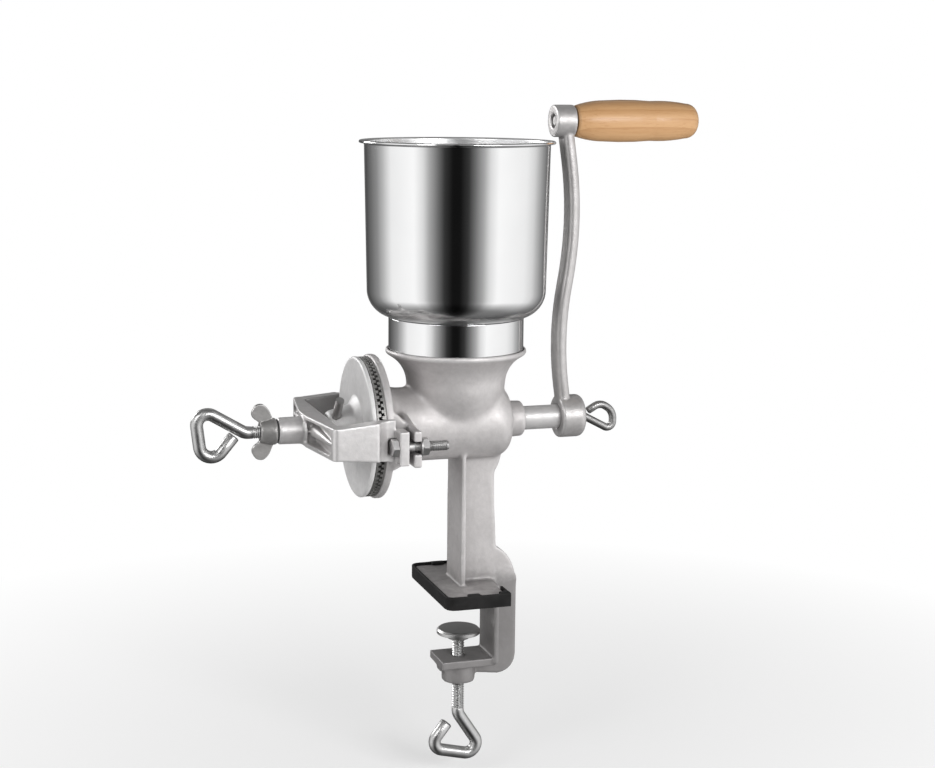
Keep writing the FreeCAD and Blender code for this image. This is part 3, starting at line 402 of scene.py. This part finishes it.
def cast_copy(node, voxel, passes, mat, thin=1.0, tidy=None, extra=()):
    """The node's own shape with the soft edges of a casting. extra lists (weight of a point, passes)."""
    tmp = bpy.data.objects.new("tmp_" + node, nodes[node].data.copy())
    scene.collection.objects.link(tmp)
    m = tmp.modifiers.new("remesh", "REMESH")
    m.mode, m.voxel_size = "VOXEL", voxel * MM
    s = tmp.modifiers.new("soft", "SMOOTH")
    s.factor, s.iterations = 0.5, passes
    me = baked(tmp, node + "_cast")
    tmp = bpy.data.objects.new("tmp_" + node, me)
    scene.collection.objects.link(tmp)
    for i, (weigh, more) in enumerate(extra):
        level = np.round(np.clip(weigh(read_mm(me)), 0, 1) * 8).astype(int)
        vg = tmp.vertex_groups.new(name="soft%d" % i)
        for k in range(1, 9):
            vg.add(np.nonzero(level == k)[0].tolist(), k / 8, "REPLACE")
        s = tmp.modifiers.new("softer%d" % i, "SMOOTH")
        s.factor, s.iterations, s.vertex_group = 0.5, more, vg.name
    if thin < 1.0:
        dm = tmp.modifiers.new("thin", "DECIMATE")
        dm.ratio = thin
    me = baked(tmp, node + "_cast")
    if tidy is not None:
        co = read_mm(me)
        tidy(co)
        me.vertices.foreach_set("co", (co * MM).ravel())
        me.update()
    return adopt(node + "_cast", me, node, mat)


def clear_bore(co, axis, centre, r, lo, hi, reach):
    """Moves vertices near an axis out to a bore's radius."""
    i, j = {"x": (1, 2), "z": (0, 1)}[axis]
    k = {"x": 0, "z": 2}[axis]
    dy, dz = co[:, i] - centre[0], co[:, j] - centre[1]
    rad = np.hypot(dy, dz)
    m = (rad < r) & (rad > reach) & (co[:, k] > lo) & (co[:, k] < hi)
    f = r / rad[m]
    co[m, i] = centre[0] + dy[m] * f
    co[m, j] = centre[1] + dz[m] * f


def chain(pts, arcs=None, closed=True, step=8.0):
    """Points along lines and arcs; arcs maps an edge's index to (radius, turn)."""
    arcs = arcs or {}
    out = []
    n = len(pts)
    for i in range(n if closed else n - 1):
        (ax, ay), (bx, by) = pts[i], pts[(i + 1) % n]
        out.append((ax, ay))
        if i in arcs:
            r, turn = arcs[i]
            c = math.hypot(bx - ax, by - ay)
            h = math.sqrt(max(r * r - c * c / 4, 0.0))
            cx = (ax + bx) / 2 - turn * (by - ay) / c * h
            cy = (ay + by) / 2 + turn * (bx - ax) / c * h
            a0, a1 = math.atan2(ay - cy, ax - cx), math.atan2(by - cy, bx - cx)
            if turn > 0 and a1 <= a0:
                a1 += 2 * math.pi
            if turn < 0 and a1 >= a0:
                a1 -= 2 * math.pi
            k = max(2, int(abs(a1 - a0) / math.radians(step)))
            out += [(cx + r * math.cos(a0 + (a1 - a0) * j / k), cy + r * math.sin(a0 + (a1 - a0) * j / k)) for j in range(1, k)]
    if not closed:
        out.append(tuple(pts[-1]))
    return out


def eased(pts, r, closed=True, least=18.0):
    """Rounds the corners of a chain by a small radius."""
    P = [Vector(p) for p in pts]
    n, out = len(P), []
    for i in range(n):
        if not closed and i in (0, n - 1):
            out.append(tuple(P[i]))
            continue
        a, b, c = P[i - 1], P[i], P[(i + 1) % n]
        u, v = a - b, c - b
        lu, lv = u.length, v.length
        if lu < 1e-6 or lv < 1e-6:
            continue
        u.normalize(), v.normalize()
        ang = math.acos(max(-1, min(1, u.dot(v))))
        if math.degrees(math.pi - ang) < least:
            out.append(tuple(b))
            continue
        t = min(r / math.tan(ang / 2), 0.42 * lu, 0.42 * lv)
        for k in range(4):
            s = k / 3
            out.append(tuple((b + u * t) * (1 - s) ** 2 + b * 2 * s * (1 - s) + (b + v * t) * s * s))
    return out


def lathe(name, prof, axis, centre, seg, wrap=True):
    """A closed profile of (radius, along) turned about an axis; sizes in mm."""
    held = []
    for i, (a, b) in enumerate(zip(prof, list(prof[1:]) + [prof[0]])):
        held.append(a)
        d = math.hypot(b[0] - a[0], b[1] - a[1])
        if d > 2.0 and (wrap or i < len(prof) - 1):  # rows close to a long run's ends keep its shading flat
            for f in (0.3 / d, 0.9 / d, 0.5, 1 - 0.9 / d, 1 - 0.3 / d):
                held.append((a[0] + (b[0] - a[0]) * f, a[1] + (b[1] - a[1]) * f))
    prof = held
    n = len(prof)
    verts, faces = [], []
    for k in range(seg):
        a = 2 * math.pi * k / seg
        ca, sa = math.cos(a), math.sin(a)
        for r, h in prof:
            r = max(r, 0.0)
            if axis == "z":
                verts.append(((centre[0] + r * ca) * MM, (centre[1] + r * sa) * MM, (centre[2] + h) * MM))
            else:
                verts.append(((centre[0] + h) * MM, (centre[1] + r * ca) * MM, (centre[2] + r * sa) * MM))
    for k in range(seg):
        k2 = (k + 1) % seg
        for i in range(n if wrap else n - 1):
            j = (i + 1) % n
            faces.append((k * n + i, k2 * n + i, k2 * n + j, k * n + j))
    me = bpy.data.meshes.new(name)
    me.from_pydata(verts, [], faces)
    import bmesh
    bm = bmesh.new()
    bm.from_mesh(me)
    bmesh.ops.remove_doubles(bm, verts=bm.verts, dist=1e-6)
    bmesh.ops.dissolve_degenerate(bm, edges=bm.edges, dist=1e-7)
    bmesh.ops.recalc_face_normals(bm, faces=bm.faces)
    bm.to_mesh(me)
    bm.free()
    return me


def bent_rod(name, pts, radii, r, plane_at, thread=None, seg=36, groove=None):
    """A round rod along straight runs and bends in the plane Y = 0. thread is (start, end, pitch, depth) along its length."""
    P = [np.array(p, float) for p in pts]
    line = [P[0]]
    for i in range(1, len(P) - 1):
        u, v = P[i - 1] - P[i], P[i + 1] - P[i]
        u, v = u / np.linalg.norm(u), v / np.linalg.norm(v)
        half = math.acos(np.clip(u @ v, -1, 1)) / 2
        t = radii[i - 1] / math.tan(half)
        bis = (u + v) / np.linalg.norm(u + v)
        c = P[i] + bis * radii[i - 1] / math.sin(half)
        a0, b0 = P[i] + u * t - c, P[i] + v * t - c
        ang = math.acos(np.clip(a0 @ b0 / radii[i - 1] ** 2, -1, 1))
        sgn = np.sign(a0[0] * b0[1] - a0[1] * b0[0])
        k = max(4, int(ang / math.radians(6)))
        for j in range(k + 1):
            th = sgn * ang * j / k
            line.append(c + np.array([a0[0] * math.cos(th) - a0[1] * math.sin(th), a0[0] * math.sin(th) + a0[1] * math.cos(th)]))
    line.append(P[-1])
    line = np.array(line)
    # stations: fine in the thread, the line's own points elsewhere
    seglen = np.hypot(*np.diff(line, axis=0).T)
    s_line = np.concatenate([[0], np.cumsum(seglen)])
    total = s_line[-1]
    st = list(s_line) + [0.35, 0.8, total - 0.35, total - 0.8]
    if thread:
        st += list(np.arange(thread[0], thread[1], thread[2] / 8))
    if groove:
        st += list(np.arange(groove[0] - 0.3, groove[1] + 0.3, 0.15))
    st = np.unique(np.round(np.clip(st, 0, total), 4))
    st = st[np.concatenate([[True], np.diff(st) > 0.02])]
    X = np.interp(st, s_line, line[:, 0])
    Z = np.interp(st, s_line, line[:, 1])
    tx, tz = np.gradient(X, st), np.gradient(Z, st)
    ln = np.hypot(tx, tz)
    tx, tz = tx / ln, tz / ln
    verts, faces = [], []
    for i, s in enumerate(st):
        ease = min(1.0, 0.80 + 0.25 * min(s, total - s) / 0.8) if min(s, total - s) < 0.8 else 1.0
        for k in range(seg):
            a = 2 * math.pi * k / seg
            rr = r * ease
            if thread and thread[0] - thread[2] < s < thread[1] + thread[2]:
                ph = (s / thread[2] - k / seg) % 1.0
                tri = abs(2 * ph - 1)
                tri = min(1.0, max(0.0, (tri - 0.08) / 0.84))
                fade = min(1.0, max(0.0, (s - thread[0] + thread[2]) / thread[2])) * min(1.0, max(0.0, (thread[1] + thread[2] - s) / (2 * thread[2])))
                rr = min(rr, r - thread[3] * tri * fade)
            if groove and groove[0] <= s <= groove[1]:
                rr = min(rr, groove[2])
            n0, n1 = -tz[i], tx[i]
            ca, sa = math.cos(a), math.sin(a)
            verts.append(((plane_at[0] + X[i] + n0 * rr * ca) * MM, rr * sa * MM, (plane_at[1] + Z[i] + n1 * rr * ca) * MM))
    m = len(st)
    for i in range(m - 1):
        for k in range(seg):
            k2 = (k + 1) % seg
            faces.append((i * seg + k, i * seg + k2, (i + 1) * seg + k2, (i + 1) * seg + k))
    faces.append(tuple(range(seg))[::-1])
    faces.append(tuple((m - 1) * seg + k for k in range(seg)))
    me = bpy.data.meshes.new(name)
    me.from_pydata(verts, [], faces)
    import bmesh
    bm = bmesh.new()
    bm.from_mesh(me)
    bmesh.ops.recalc_face_normals(bm, faces=bm.faces)
    bm.to_mesh(me)
    bm.free()
    return me


def hex_radius(a, circ):
    """Radius of a hexagon with corners on the Y axis at angle a from Y."""
    ap = circ * math.cos(math.pi / 6)
    return ap / math.cos(a % (math.pi / 3) - math.pi / 6)


def ring_stack(name, rings, seg, cap_a=True, cap_b=True):
    """Rings given as functions of angle -> (x, r), joined in order; about the X axis through (y, z)."""
    verts, faces = [], []
    for fn, cy, cz in rings:
        for k in range(seg):
            a = 2 * math.pi * k / seg
            x, r = fn(a)
            verts.append((x * MM, (cy + r * math.cos(a)) * MM, (cz + r * math.sin(a)) * MM))
    m = len(rings)
    for i in range(m - 1):
        for k in range(seg):
            k2 = (k + 1) % seg
            faces.append((i * seg + k, i * seg + k2, (i + 1) * seg + k2, (i + 1) * seg + k))
    if cap_a:
        faces.append(tuple(range(seg))[::-1])
    if cap_b:
        faces.append(tuple((m - 1) * seg + k for k in range(seg)))
    if not cap_a and not cap_b:
        for k in range(seg):
            k2 = (k + 1) % seg
            faces.append(((m - 1) * seg + k, (m - 1) * seg + k2, k2, k))
    return verts, faces


def joined(name, parts):
    """One mesh of several loose shells."""
    verts, faces = [], []
    for v, f in parts:
        base = len(verts)
        verts += v
        faces += [tuple(i + base for i in p) for p in f]
    me = bpy.data.meshes.new(name)
    me.from_pydata(verts, [], faces)
    import bmesh
    bm = bmesh.new()
    bm.from_mesh(me)
    bmesh.ops.recalc_face_normals(bm, faces=bm.faces)
    bm.to_mesh(me)
    bm.free()
    return me


# ------------------------------------------------------------------ castings
def tidy_body(co):
    clear_bore(co, "x", (0, SZ), 9.45, 28, 60, 6.0)
    clear_bore(co, "z", (4, 0), 5.2, -90, -40, 2.5)
    z = co[:, 2] - SZ
    r = np.hypot(co[:, 0], co[:, 1])
    m = (z > 24) & (z < 57.2) & (r < 52.4) & (r > 28)
    wall = np.interp(z[m], [24, 40, 45, 51, 54.4, 54.9, 57.2], [33.6, 33.6, 36.2, 40.4, 45.6, 52.0, 52.0])
    f = np.maximum(r[m] + 0.0, wall) / r[m]
    co[m, 0] *= f
    co[m, 1] *= f


def body_blend(co):
    """Strong where the neck, barrel, lugs and leg run into one another."""
    z = co[:, 2] - SZ
    w = np.clip((z + 60) / 12, 0, 1) * np.clip((46 - z) / 6, 0, 1)
    w *= np.clip((co[:, 0] + 61) / 4, 0, 1) * np.clip((43 - co[:, 0]) / 5, 0, 1)
    r = np.hypot(co[:, 1], z)
    w[(r < 24.5) | (np.abs(co[:, 1]) > 56)] = 0
    return w


def neck_blend(co):
    """Strong on the outside where the neck's cone dies into the barrel."""
    z = co[:, 2] - SZ
    w = np.clip((z + 6) / 12, 0, 1) * np.clip((34 - z) / 12, 0, 1)
    w *= np.clip((co[:, 0] + 46) / 8, 0, 1) * np.clip((41 - co[:, 0]) / 5, 0, 1) * np.clip((40 - np.abs(co[:, 1])) / 6, 0, 1)
    w[(np.hypot(co[:, 1], z) < 25.2) | ((np.hypot(co[:, 0], co[:, 1]) < 29.5) & (z > 12))] = 0
    return w


cast_copy("mill_body", 1.0, 6, "cast", thin=0.5, tidy=tidy_body, extra=[(body_blend, 16), (neck_blend, 90)])
cast_copy("yoke", 0.65, 7, "cast_yoke", thin=0.6, tidy=lambda co: clear_bore(co, "x", (0, SZ), 5.0, -150, -100, 2.0))
cast_copy("crank_arm", 0.75, 6, "cast_crank", thin=0.7, tidy=lambda co: clear_bore(co, "x", (0, SZ), 9.35, 80, 101, 4.0))
cast_copy("rotating_disc", 0.75, 5, "cast_disc", thin=0.6)
cast_copy("wing_nut", 0.4, 6, "cast_dark", tidy=lambda co: clear_bore(co, "x", (0, SZ), 5.0, -160, -130, 2.0))
cast_copy("foot_boot", 0.6, 6, "rubber", thin=0.6)

# ------------------------------------------------------------------ hopper
w = 0.9
bowl = chain(
    [(46, 81.5), (47, 81.5), (67.7, 102.2), (69.7, 210.2), (70.9, 211.4), (72.6, 211.4), (73.6, 212.4), (72.6, 213.6), (70.4, 213.6), (68.8, 212.0),
     (66.8, 102.2), (47, 82.4), (46, 82.4)],
    {1: (20.7, 1), 3: (1.25, -1), 5: (1.05, 1), 6: (1.25, 1), 8: (1.7, 1), 10: (19.8, -1)}, step=4.0)
adopt("hopper_bowl_sheet", lathe("hopper_bowl_sheet", bowl, "z", (0, 0, SZ), 180), "hopper_bowl", "steel_bowl", 40)
sr, cr, sf = 32.8, 51.3, 55.0
collar = eased(
    [(sr - w, 32), (sr, 32), (sr, 40.4), (35.2, 45.6), (39.2, sf - 3.4), (45.0, sf + 0.3), (cr, sf + 0.3), (cr, 81.45), (46.5, 81.45), (46.5, 80.6),
     (cr - w, 80.6), (cr - w, sf + 0.3 + w), (44.6, sf + 0.3 + w), (38.6, sf - 2.7), (34.4, 46.0), (sr - w, 40.6)], 0.45)
adopt("hopper_collar_sheet", lathe("hopper_collar_sheet", collar, "z", (0, 0, SZ), 160), "hopper_collar", "steel", 40)

# ------------------------------------------------------------------ rods with eyes
tip = 1.85 - 101.5 - 6.0
adopt("adjusting_eye_screw", bent_rod("adjusting_eye_screw", [(tip, 0), (-163, 0), (-200.3, 22.4), (-194.2, -29.8), (-171.0, -2.0)], [9.0, 8.0, 9.0],
                                     4.7, (0, SZ), thread=(1.0, 52.0, 1.5, 0.62)), "adjusting_screw", "rod", 50)
adopt("thumb_eye_screw", bent_rod("thumb_eye_screw", [(91.0, 0), (104.0, 0), (130.0, -13.8), (130.6, 1.8), (119.3, 9.0), (109.0, 2.95)], [4.0, 4.5, 11.0, 8.5],
                                 3.0, (0, SZ), thread=(0.6, 10.0, 1.0, 0.4), seg=28), "thumb_screw", "rod_dull", 50)
adopt("clamp_eye_screw", bent_rod("clamp_eye_screw", [(0, -33.5), (0, -100), (25.0, -138.5), (-24.0, -126.5), (-9.0, -107.0)], [9.0, 8.0, 7.0],
                                 4.8, (4, 0), thread=(6.0, 62.0, 2.0, 0.8), groove=(1.5, 2.5, 3.8)), "clamp_screw", "rod", 50)

# ------------------------------------------------------------------ yoke bolts
BZ = SZ - 3.8
HEX = 6.9
FLAT = HEX * math.cos(math.pi / 6) - 0.22  # where the chamfer meets the face
SHANK = 3.8


def hexed(x_face, x_back, sign):
    """Rings of a hexagon from its chamfered face to its back."""
    def face(a):
        return x_face, FLAT - 0.25
    def rim(a):
        r = min(hex_radius(a, HEX), FLAT)
        return x_face + sign * 0.05, r
    def edge(a):
        r = hex_radius(a, HEX)
        return x_face + sign * (0.05 + max(0.0, r - FLAT) * 0.62), r
    def back(a):
        return x_back, hex_radius(a, HEX)
    return [face, rim, edge, back]


bolts, washers, nuts = [], [], []
for s in (-1, 1):
    cy = s * 64.5
    fns = hexed(-69.0, -64.25, 1) + [lambda a: (-64.1, hex_radius(a, HEX) - 0.15), lambda a: (-64.1, SHANK)]
    L0, L1, pitch, depth = -52.0, -27.2, 1.25, 0.55
    xs = [-63.6, -54.0] + list(np.arange(L0, L1, pitch / 8)) + [-26.6, -26.05]

    def shank(x):
        def fn(a):
            r = SHANK
            if x > L0 - 0.5:
                ph = (x / pitch - a / (2 * math.pi)) % 1.0
                tri = min(1.0, max(0.0, (abs(2 * ph - 1) - 0.08) / 0.84))
                r -= depth * tri * min(1.0, (x - L0 + 0.5) / 1.0)
            if x > -26.9:
                r = min(r, SHANK - (x + 26.9) * 0.75)
            return x, r
        return fn
    fns += [shank(x) for x in xs]
    bolts.append(ring_stack("bolt", [(f, cy, BZ) for f in fns], 36))
    wx = 6.0 - 53.6
    washers.append(ring_stack("washer", [(f, cy, BZ) for f in (
        lambda a: (wx, 3.9), lambda a: (wx, 7.2), lambda a: (wx + 0.2, 7.4), lambda a: (wx + 1.0, 7.4), lambda a: (wx + 1.2, 7.2), lambda a: (wx + 1.2, 3.9))],
        40, False, False))
    n0, n1 = wx + 1.2, wx + 6.6
    nuts.append(ring_stack("nut", [(f, cy, BZ) for f in (
        lambda a: (n0, 4.2), lambda a: (n0, min(hex_radius(a, HEX), FLAT)),
        lambda a: (n0 + max(0.0, hex_radius(a, HEX) - FLAT) * 0.62, hex_radius(a, HEX)),
        lambda a: (n1 - max(0.0, hex_radius(a, HEX) - FLAT) * 0.62, hex_radius(a, HEX)),
        lambda a: (n1, min(hex_radius(a, HEX), FLAT)), lambda a: (n1, 4.2), lambda a: (n1 - 0.35, 3.86), lambda a: (n0 + 0.35, 3.86))],
        72, False, False))
adopt("yoke_bolt_pair", joined("yoke_bolt_pair", bolts), "yoke_bolts", "zinc", 32)
adopt("yoke_washer_pair", joined("yoke_washer_pair", washers), "yoke_washers", "zinc", 32)
adopt("yoke_nut_pair", joined("yoke_nut_pair", nuts), "yoke_nuts", "zinc", 32)

# ------------------------------------------------------------------ grip
gz = SZ + 228.0
g0, ge = 92.9, 192.9
grip = chain(
    [(g0, 4.3), (g0, 10.6), (g0 + 1.4, 12.0), (g0 + 24, 15.6), (g0 + 62, 15.2), (g0 + 92, 13.4), (ge - 0.6, 9.6), (ge, 8.6), (ge, 7.2), (ge - 5.9, 7.2), (ge - 5.9, 4.3)],
    {2: (78.0, -1), 3: (260.0, -1), 4: (130.0, -1), 5: (9.0, -1)}, step=2.5)
adopt("turned_grip", lathe("turned_grip", eased([(r, x) for x, r in grip], 0.5, least=24.0), "x", (0, 0, gz), 96), "wooden_grip", "wood", 45)
spin = eased([(0, 77.0), (3.2, 77.0), (4.2, 77.8), (4.2, ge - 5.6), (6.4, ge - 5.6), (6.4, ge - 2.6), (5.0, ge - 1.8), (0, ge - 1.8)], 0.4)
adopt("riveted_spindle", lathe("riveted_spindle", spin, "x", (0, 0, gz), 56), "grip_spindle", "shaft", 40)
wsh = eased([(4.25, 91.5), (9.2, 91.5), (9.2, 92.55), (4.25, 92.55)], 0.25)
adopt("grip_end_washer", lathe("grip_end_washer", wsh, "x", (0, 0, gz), 56), "grip_washer", "shaft", 40)
lkw = eased([(4.9, -139.55), (8.8, -139.55), (8.8, -138.65), (4.9, -138.65)], 0.2)
adopt("lock_fibre_washer", lathe("lock_fibre_washer", lkw, "x", (0, 0, SZ), 56), "lock_washer", "fibre", 40)

# ------------------------------------------------------------------ clamp pad
pt = -30.0
padp = eased([(0, pt), (15.5, pt), (17, pt - 1.5), (17, pt - 4), (10, pt - 4), (8.6, pt - 8), (4.9, pt - 8), (4.9, pt - 6.3), (6.2, pt - 6.3), (6.2, pt - 4.7), (4.9, pt - 4.7), (4.9, pt - 3.4), (0, pt - 3.4)], 0.35)
adopt("swivel_pad", lathe("swivel_pad", padp, "z", (4, 0, 0), 72), "clamp_pad", "pad", 40)

# ------------------------------------------------------------------ nodes that stay as built
KEEP = {
    "fixed_burr": "burr", "rotating_burr": "burr", "fixed_burr_screws": "zinc", "rotating_burr_screws": "zinc", "feed_auger": "cast_shaft",
    "disc_pin": "pin", "thrust_ball": "pad", "clamp_pad_ring": "zinc",
}
for n, m in KEEP.items():
    me = nodes[n].data
    me.materials.clear()
    me.materials.append(MATS[m])
    for p in me.polygons:
        p.use_smooth = True
    me.set_sharp_from_angle(angle=math.radians(38))

# ------------------------------------------------------------------ floor
seg, rad = 128, 4.0
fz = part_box("clamp_screw")[0].z - 0.0141  # clear of the clamp screw at the bottom of its travel
ring = [(rad * math.cos(2 * math.pi * k / seg), rad * math.sin(2 * math.pi * k / seg), fz) for k in range(seg)]
fm = bpy.data.meshes.new("floor")
fm.from_pydata(ring, [], [tuple(range(seg))])
floor = bpy.data.objects.new("floor", fm)
scene.collection.objects.link(floor)
t = Tree("pale_floor")
dist = t.new("ShaderNodeVectorMath", operation="LENGTH")
t.link(t.coords(), dist.inputs[0])
far = t.span(dist.outputs["Value"], 0.34, 1.0, 0.12, 0.75)
near = t.mix(t.noise(3, 2, 0.5), (0.90, 0.90, 0.90), (0.93, 0.93, 0.93))
t.set(Base_Color=t.mix(far, near, (0.0, 0.0, 0.0)), Roughness=0.85, Specular_IOR_Level=0.0, Emission_Color=(1.0, 1.0, 1.0), Emission_Strength=far)
fm.materials.append(t.m)
floor.visible_glossy = False

# ------------------------------------------------------------------ light
world = bpy.data.worlds.new("studio")
scene.world = world
world.use_nodes = True
nt = world.node_tree
nt.nodes.clear()


def wn(kind, **sets):
    n = nt.nodes.new(kind)
    for k, v in sets.items():
        setattr(n, k, v)
    return n


def wmath(op, a, b=None, c=None):
    n = wn("ShaderNodeMath", operation=op)
    for i, v in enumerate((a, b, c)):
        if v is None:
            continue
        if hasattr(v, "is_linked"):
            nt.links.new(v, n.inputs[i])
        else:
            n.inputs[i].default_value = v
    return n.outputs[0]


def wramp(fac, stops):
    n = wn("ShaderNodeValToRGB")
    el = n.color_ramp.elements
    n.color_ramp.interpolation = "LINEAR"
    while len(el) < len(stops):
        el.new(0.5)
    for e, (p, c) in zip(el, stops):
        e.position = p
        e.color = (c, c, c, 1)
    nt.links.new(fac, n.inputs["Fac"])
    return n.outputs["Color"]


# soft boxes to the left and right, a dark studio in front, grey flags behind at both sides
co = wn("ShaderNodeTexCoord")
sep = wn("ShaderNodeSeparateXYZ")
nt.links.new(co.outputs["Generated"], sep.inputs[0])
front = math.atan2(-fw.y, -fw.x)
az = wmath("ARCTAN2", sep.outputs["Y"], sep.outputs["X"])
rel = wmath("WRAP", wmath("SUBTRACT", az, front), math.pi, -math.pi)
turn = wmath("DIVIDE", wmath("ADD", rel, math.pi), 2 * math.pi)  # 0.5 faces the camera; less is the left of the picture


def at(deg):
    return 0.5 + deg / 360.0


belt = wramp(turn, [
    (at(-180), 0.20), (at(-168), 0.14), (at(-154), 0.065), (at(-134), 0.15), (at(-118), 0.26), (at(-104), 0.50), (at(-89), 0.88), (at(-54), 1.0),
    (at(-42), 0.74), (at(-34), 0.40), (at(-23), 0.155), (at(-15), 0.035), (at(-5), 0.006), (at(5), 0.006), (at(15), 0.035), (at(23), 0.155), (at(34), 0.40),
    (at(42), 0.74), (at(54), 1.0), (at(96), 0.88), (at(112), 0.68), (at(121), 0.48), (at(131), 0.32), (at(145), 0.16), (at(166), 0.14), (at(180), 0.20)])
low = wramp(wmath("MULTIPLY", sep.outputs["Z"], -1.0), [(0.0, 1.0), (0.38, 1.0), (0.58, 0.56), (0.78, 0.22), (1.0, 0.14)])
sunk = wn("ShaderNodeMix", data_type="RGBA", blend_type="MULTIPLY")
sunk.inputs[0].default_value = 1.0
nt.links.new(belt, sunk.inputs[6])
nt.links.new(low, sunk.inputs[7])
high = wramp(sep.outputs["Z"], [(0.0, 0.13), (0.6, 0.13), (1.0, 0.15)])
up_mix = wramp(sep.outputs["Z"], [(0.0, 0.0), (0.40, 0.0), (0.72, 1.0), (1.0, 1.0)])
mixn = wn("ShaderNodeMix", data_type="RGBA")
nt.links.new(up_mix, mixn.inputs[0])
nt.links.new(sunk.outputs[2], mixn.inputs[6])
nt.links.new(high, mixn.inputs[7])
bg = wn("ShaderNodeBackground")
path = wn("ShaderNodeLightPath")
nt.links.new(wmath("MULTIPLY_ADD", path.outputs["Is Diffuse Ray"], -0.35, 1.05), bg.inputs["Strength"])  # the room fills less than it mirrors
nt.links.new(mixn.outputs[2], bg.inputs["Color"])
plain = wn("ShaderNodeBackground")
plain.inputs["Color"].default_value = (1, 1, 1, 1)
plain.inputs["Strength"].default_value = 1.0
two = wn("ShaderNodeMixShader")
nt.links.new(path.outputs["Is Camera Ray"], two.inputs[0])
nt.links.new(bg.outputs[0], two.inputs[1])
nt.links.new(plain.outputs[0], two.inputs[2])
out = wn("ShaderNodeOutputWorld")
nt.links.new(two.outputs[0], out.inputs[0])


def softbox(name, loc, aim, size, watts, mirrored=True):
    l = bpy.data.lights.new(name, "AREA")
    l.shape, l.size, l.size_y = "RECTANGLE", size[0], size[1]
    l.energy = watts
    o = bpy.data.objects.new(name, l)
    scene.collection.objects.link(o)
    o.location = loc
    o.rotation_euler = (Vector(aim) - Vector(loc)).to_track_quat("-Z", "Y").to_euler()
    o.visible_glossy = mirrored
    return o


softbox("key", (-0.9, -1.1, 1.35), (0, 0, 0.12), (0.9, 0.9), 1.5)
softbox("front", (0.12, -1.40, 0.98), (0, 0, 0.10), (1.1, 0.6), 1.0)
softbox("front_right", (0.42, -1.42, 0.64), (0, 0, 0.10), (0.8, 0.36), 8.0)
softbox("front_fill", (0.42, -1.42, 0.36), (0, 0, 0.10), (0.8, 0.40), 15.0, mirrored=False)
softbox("front_left", (-1.15, -0.85, 0.80), (-0.08, 0, 0.10), (0.5, 0.6), 4.0)
softbox("left_back", (-0.87, 1.16, 0.62), (-0.05, 0, 0.12), (0.6, 0.6), 8.0)
softbox("back", (0.3, 1.2, 1.6), (0, 0, 0.1), (1.4, 0.7), 1.0)
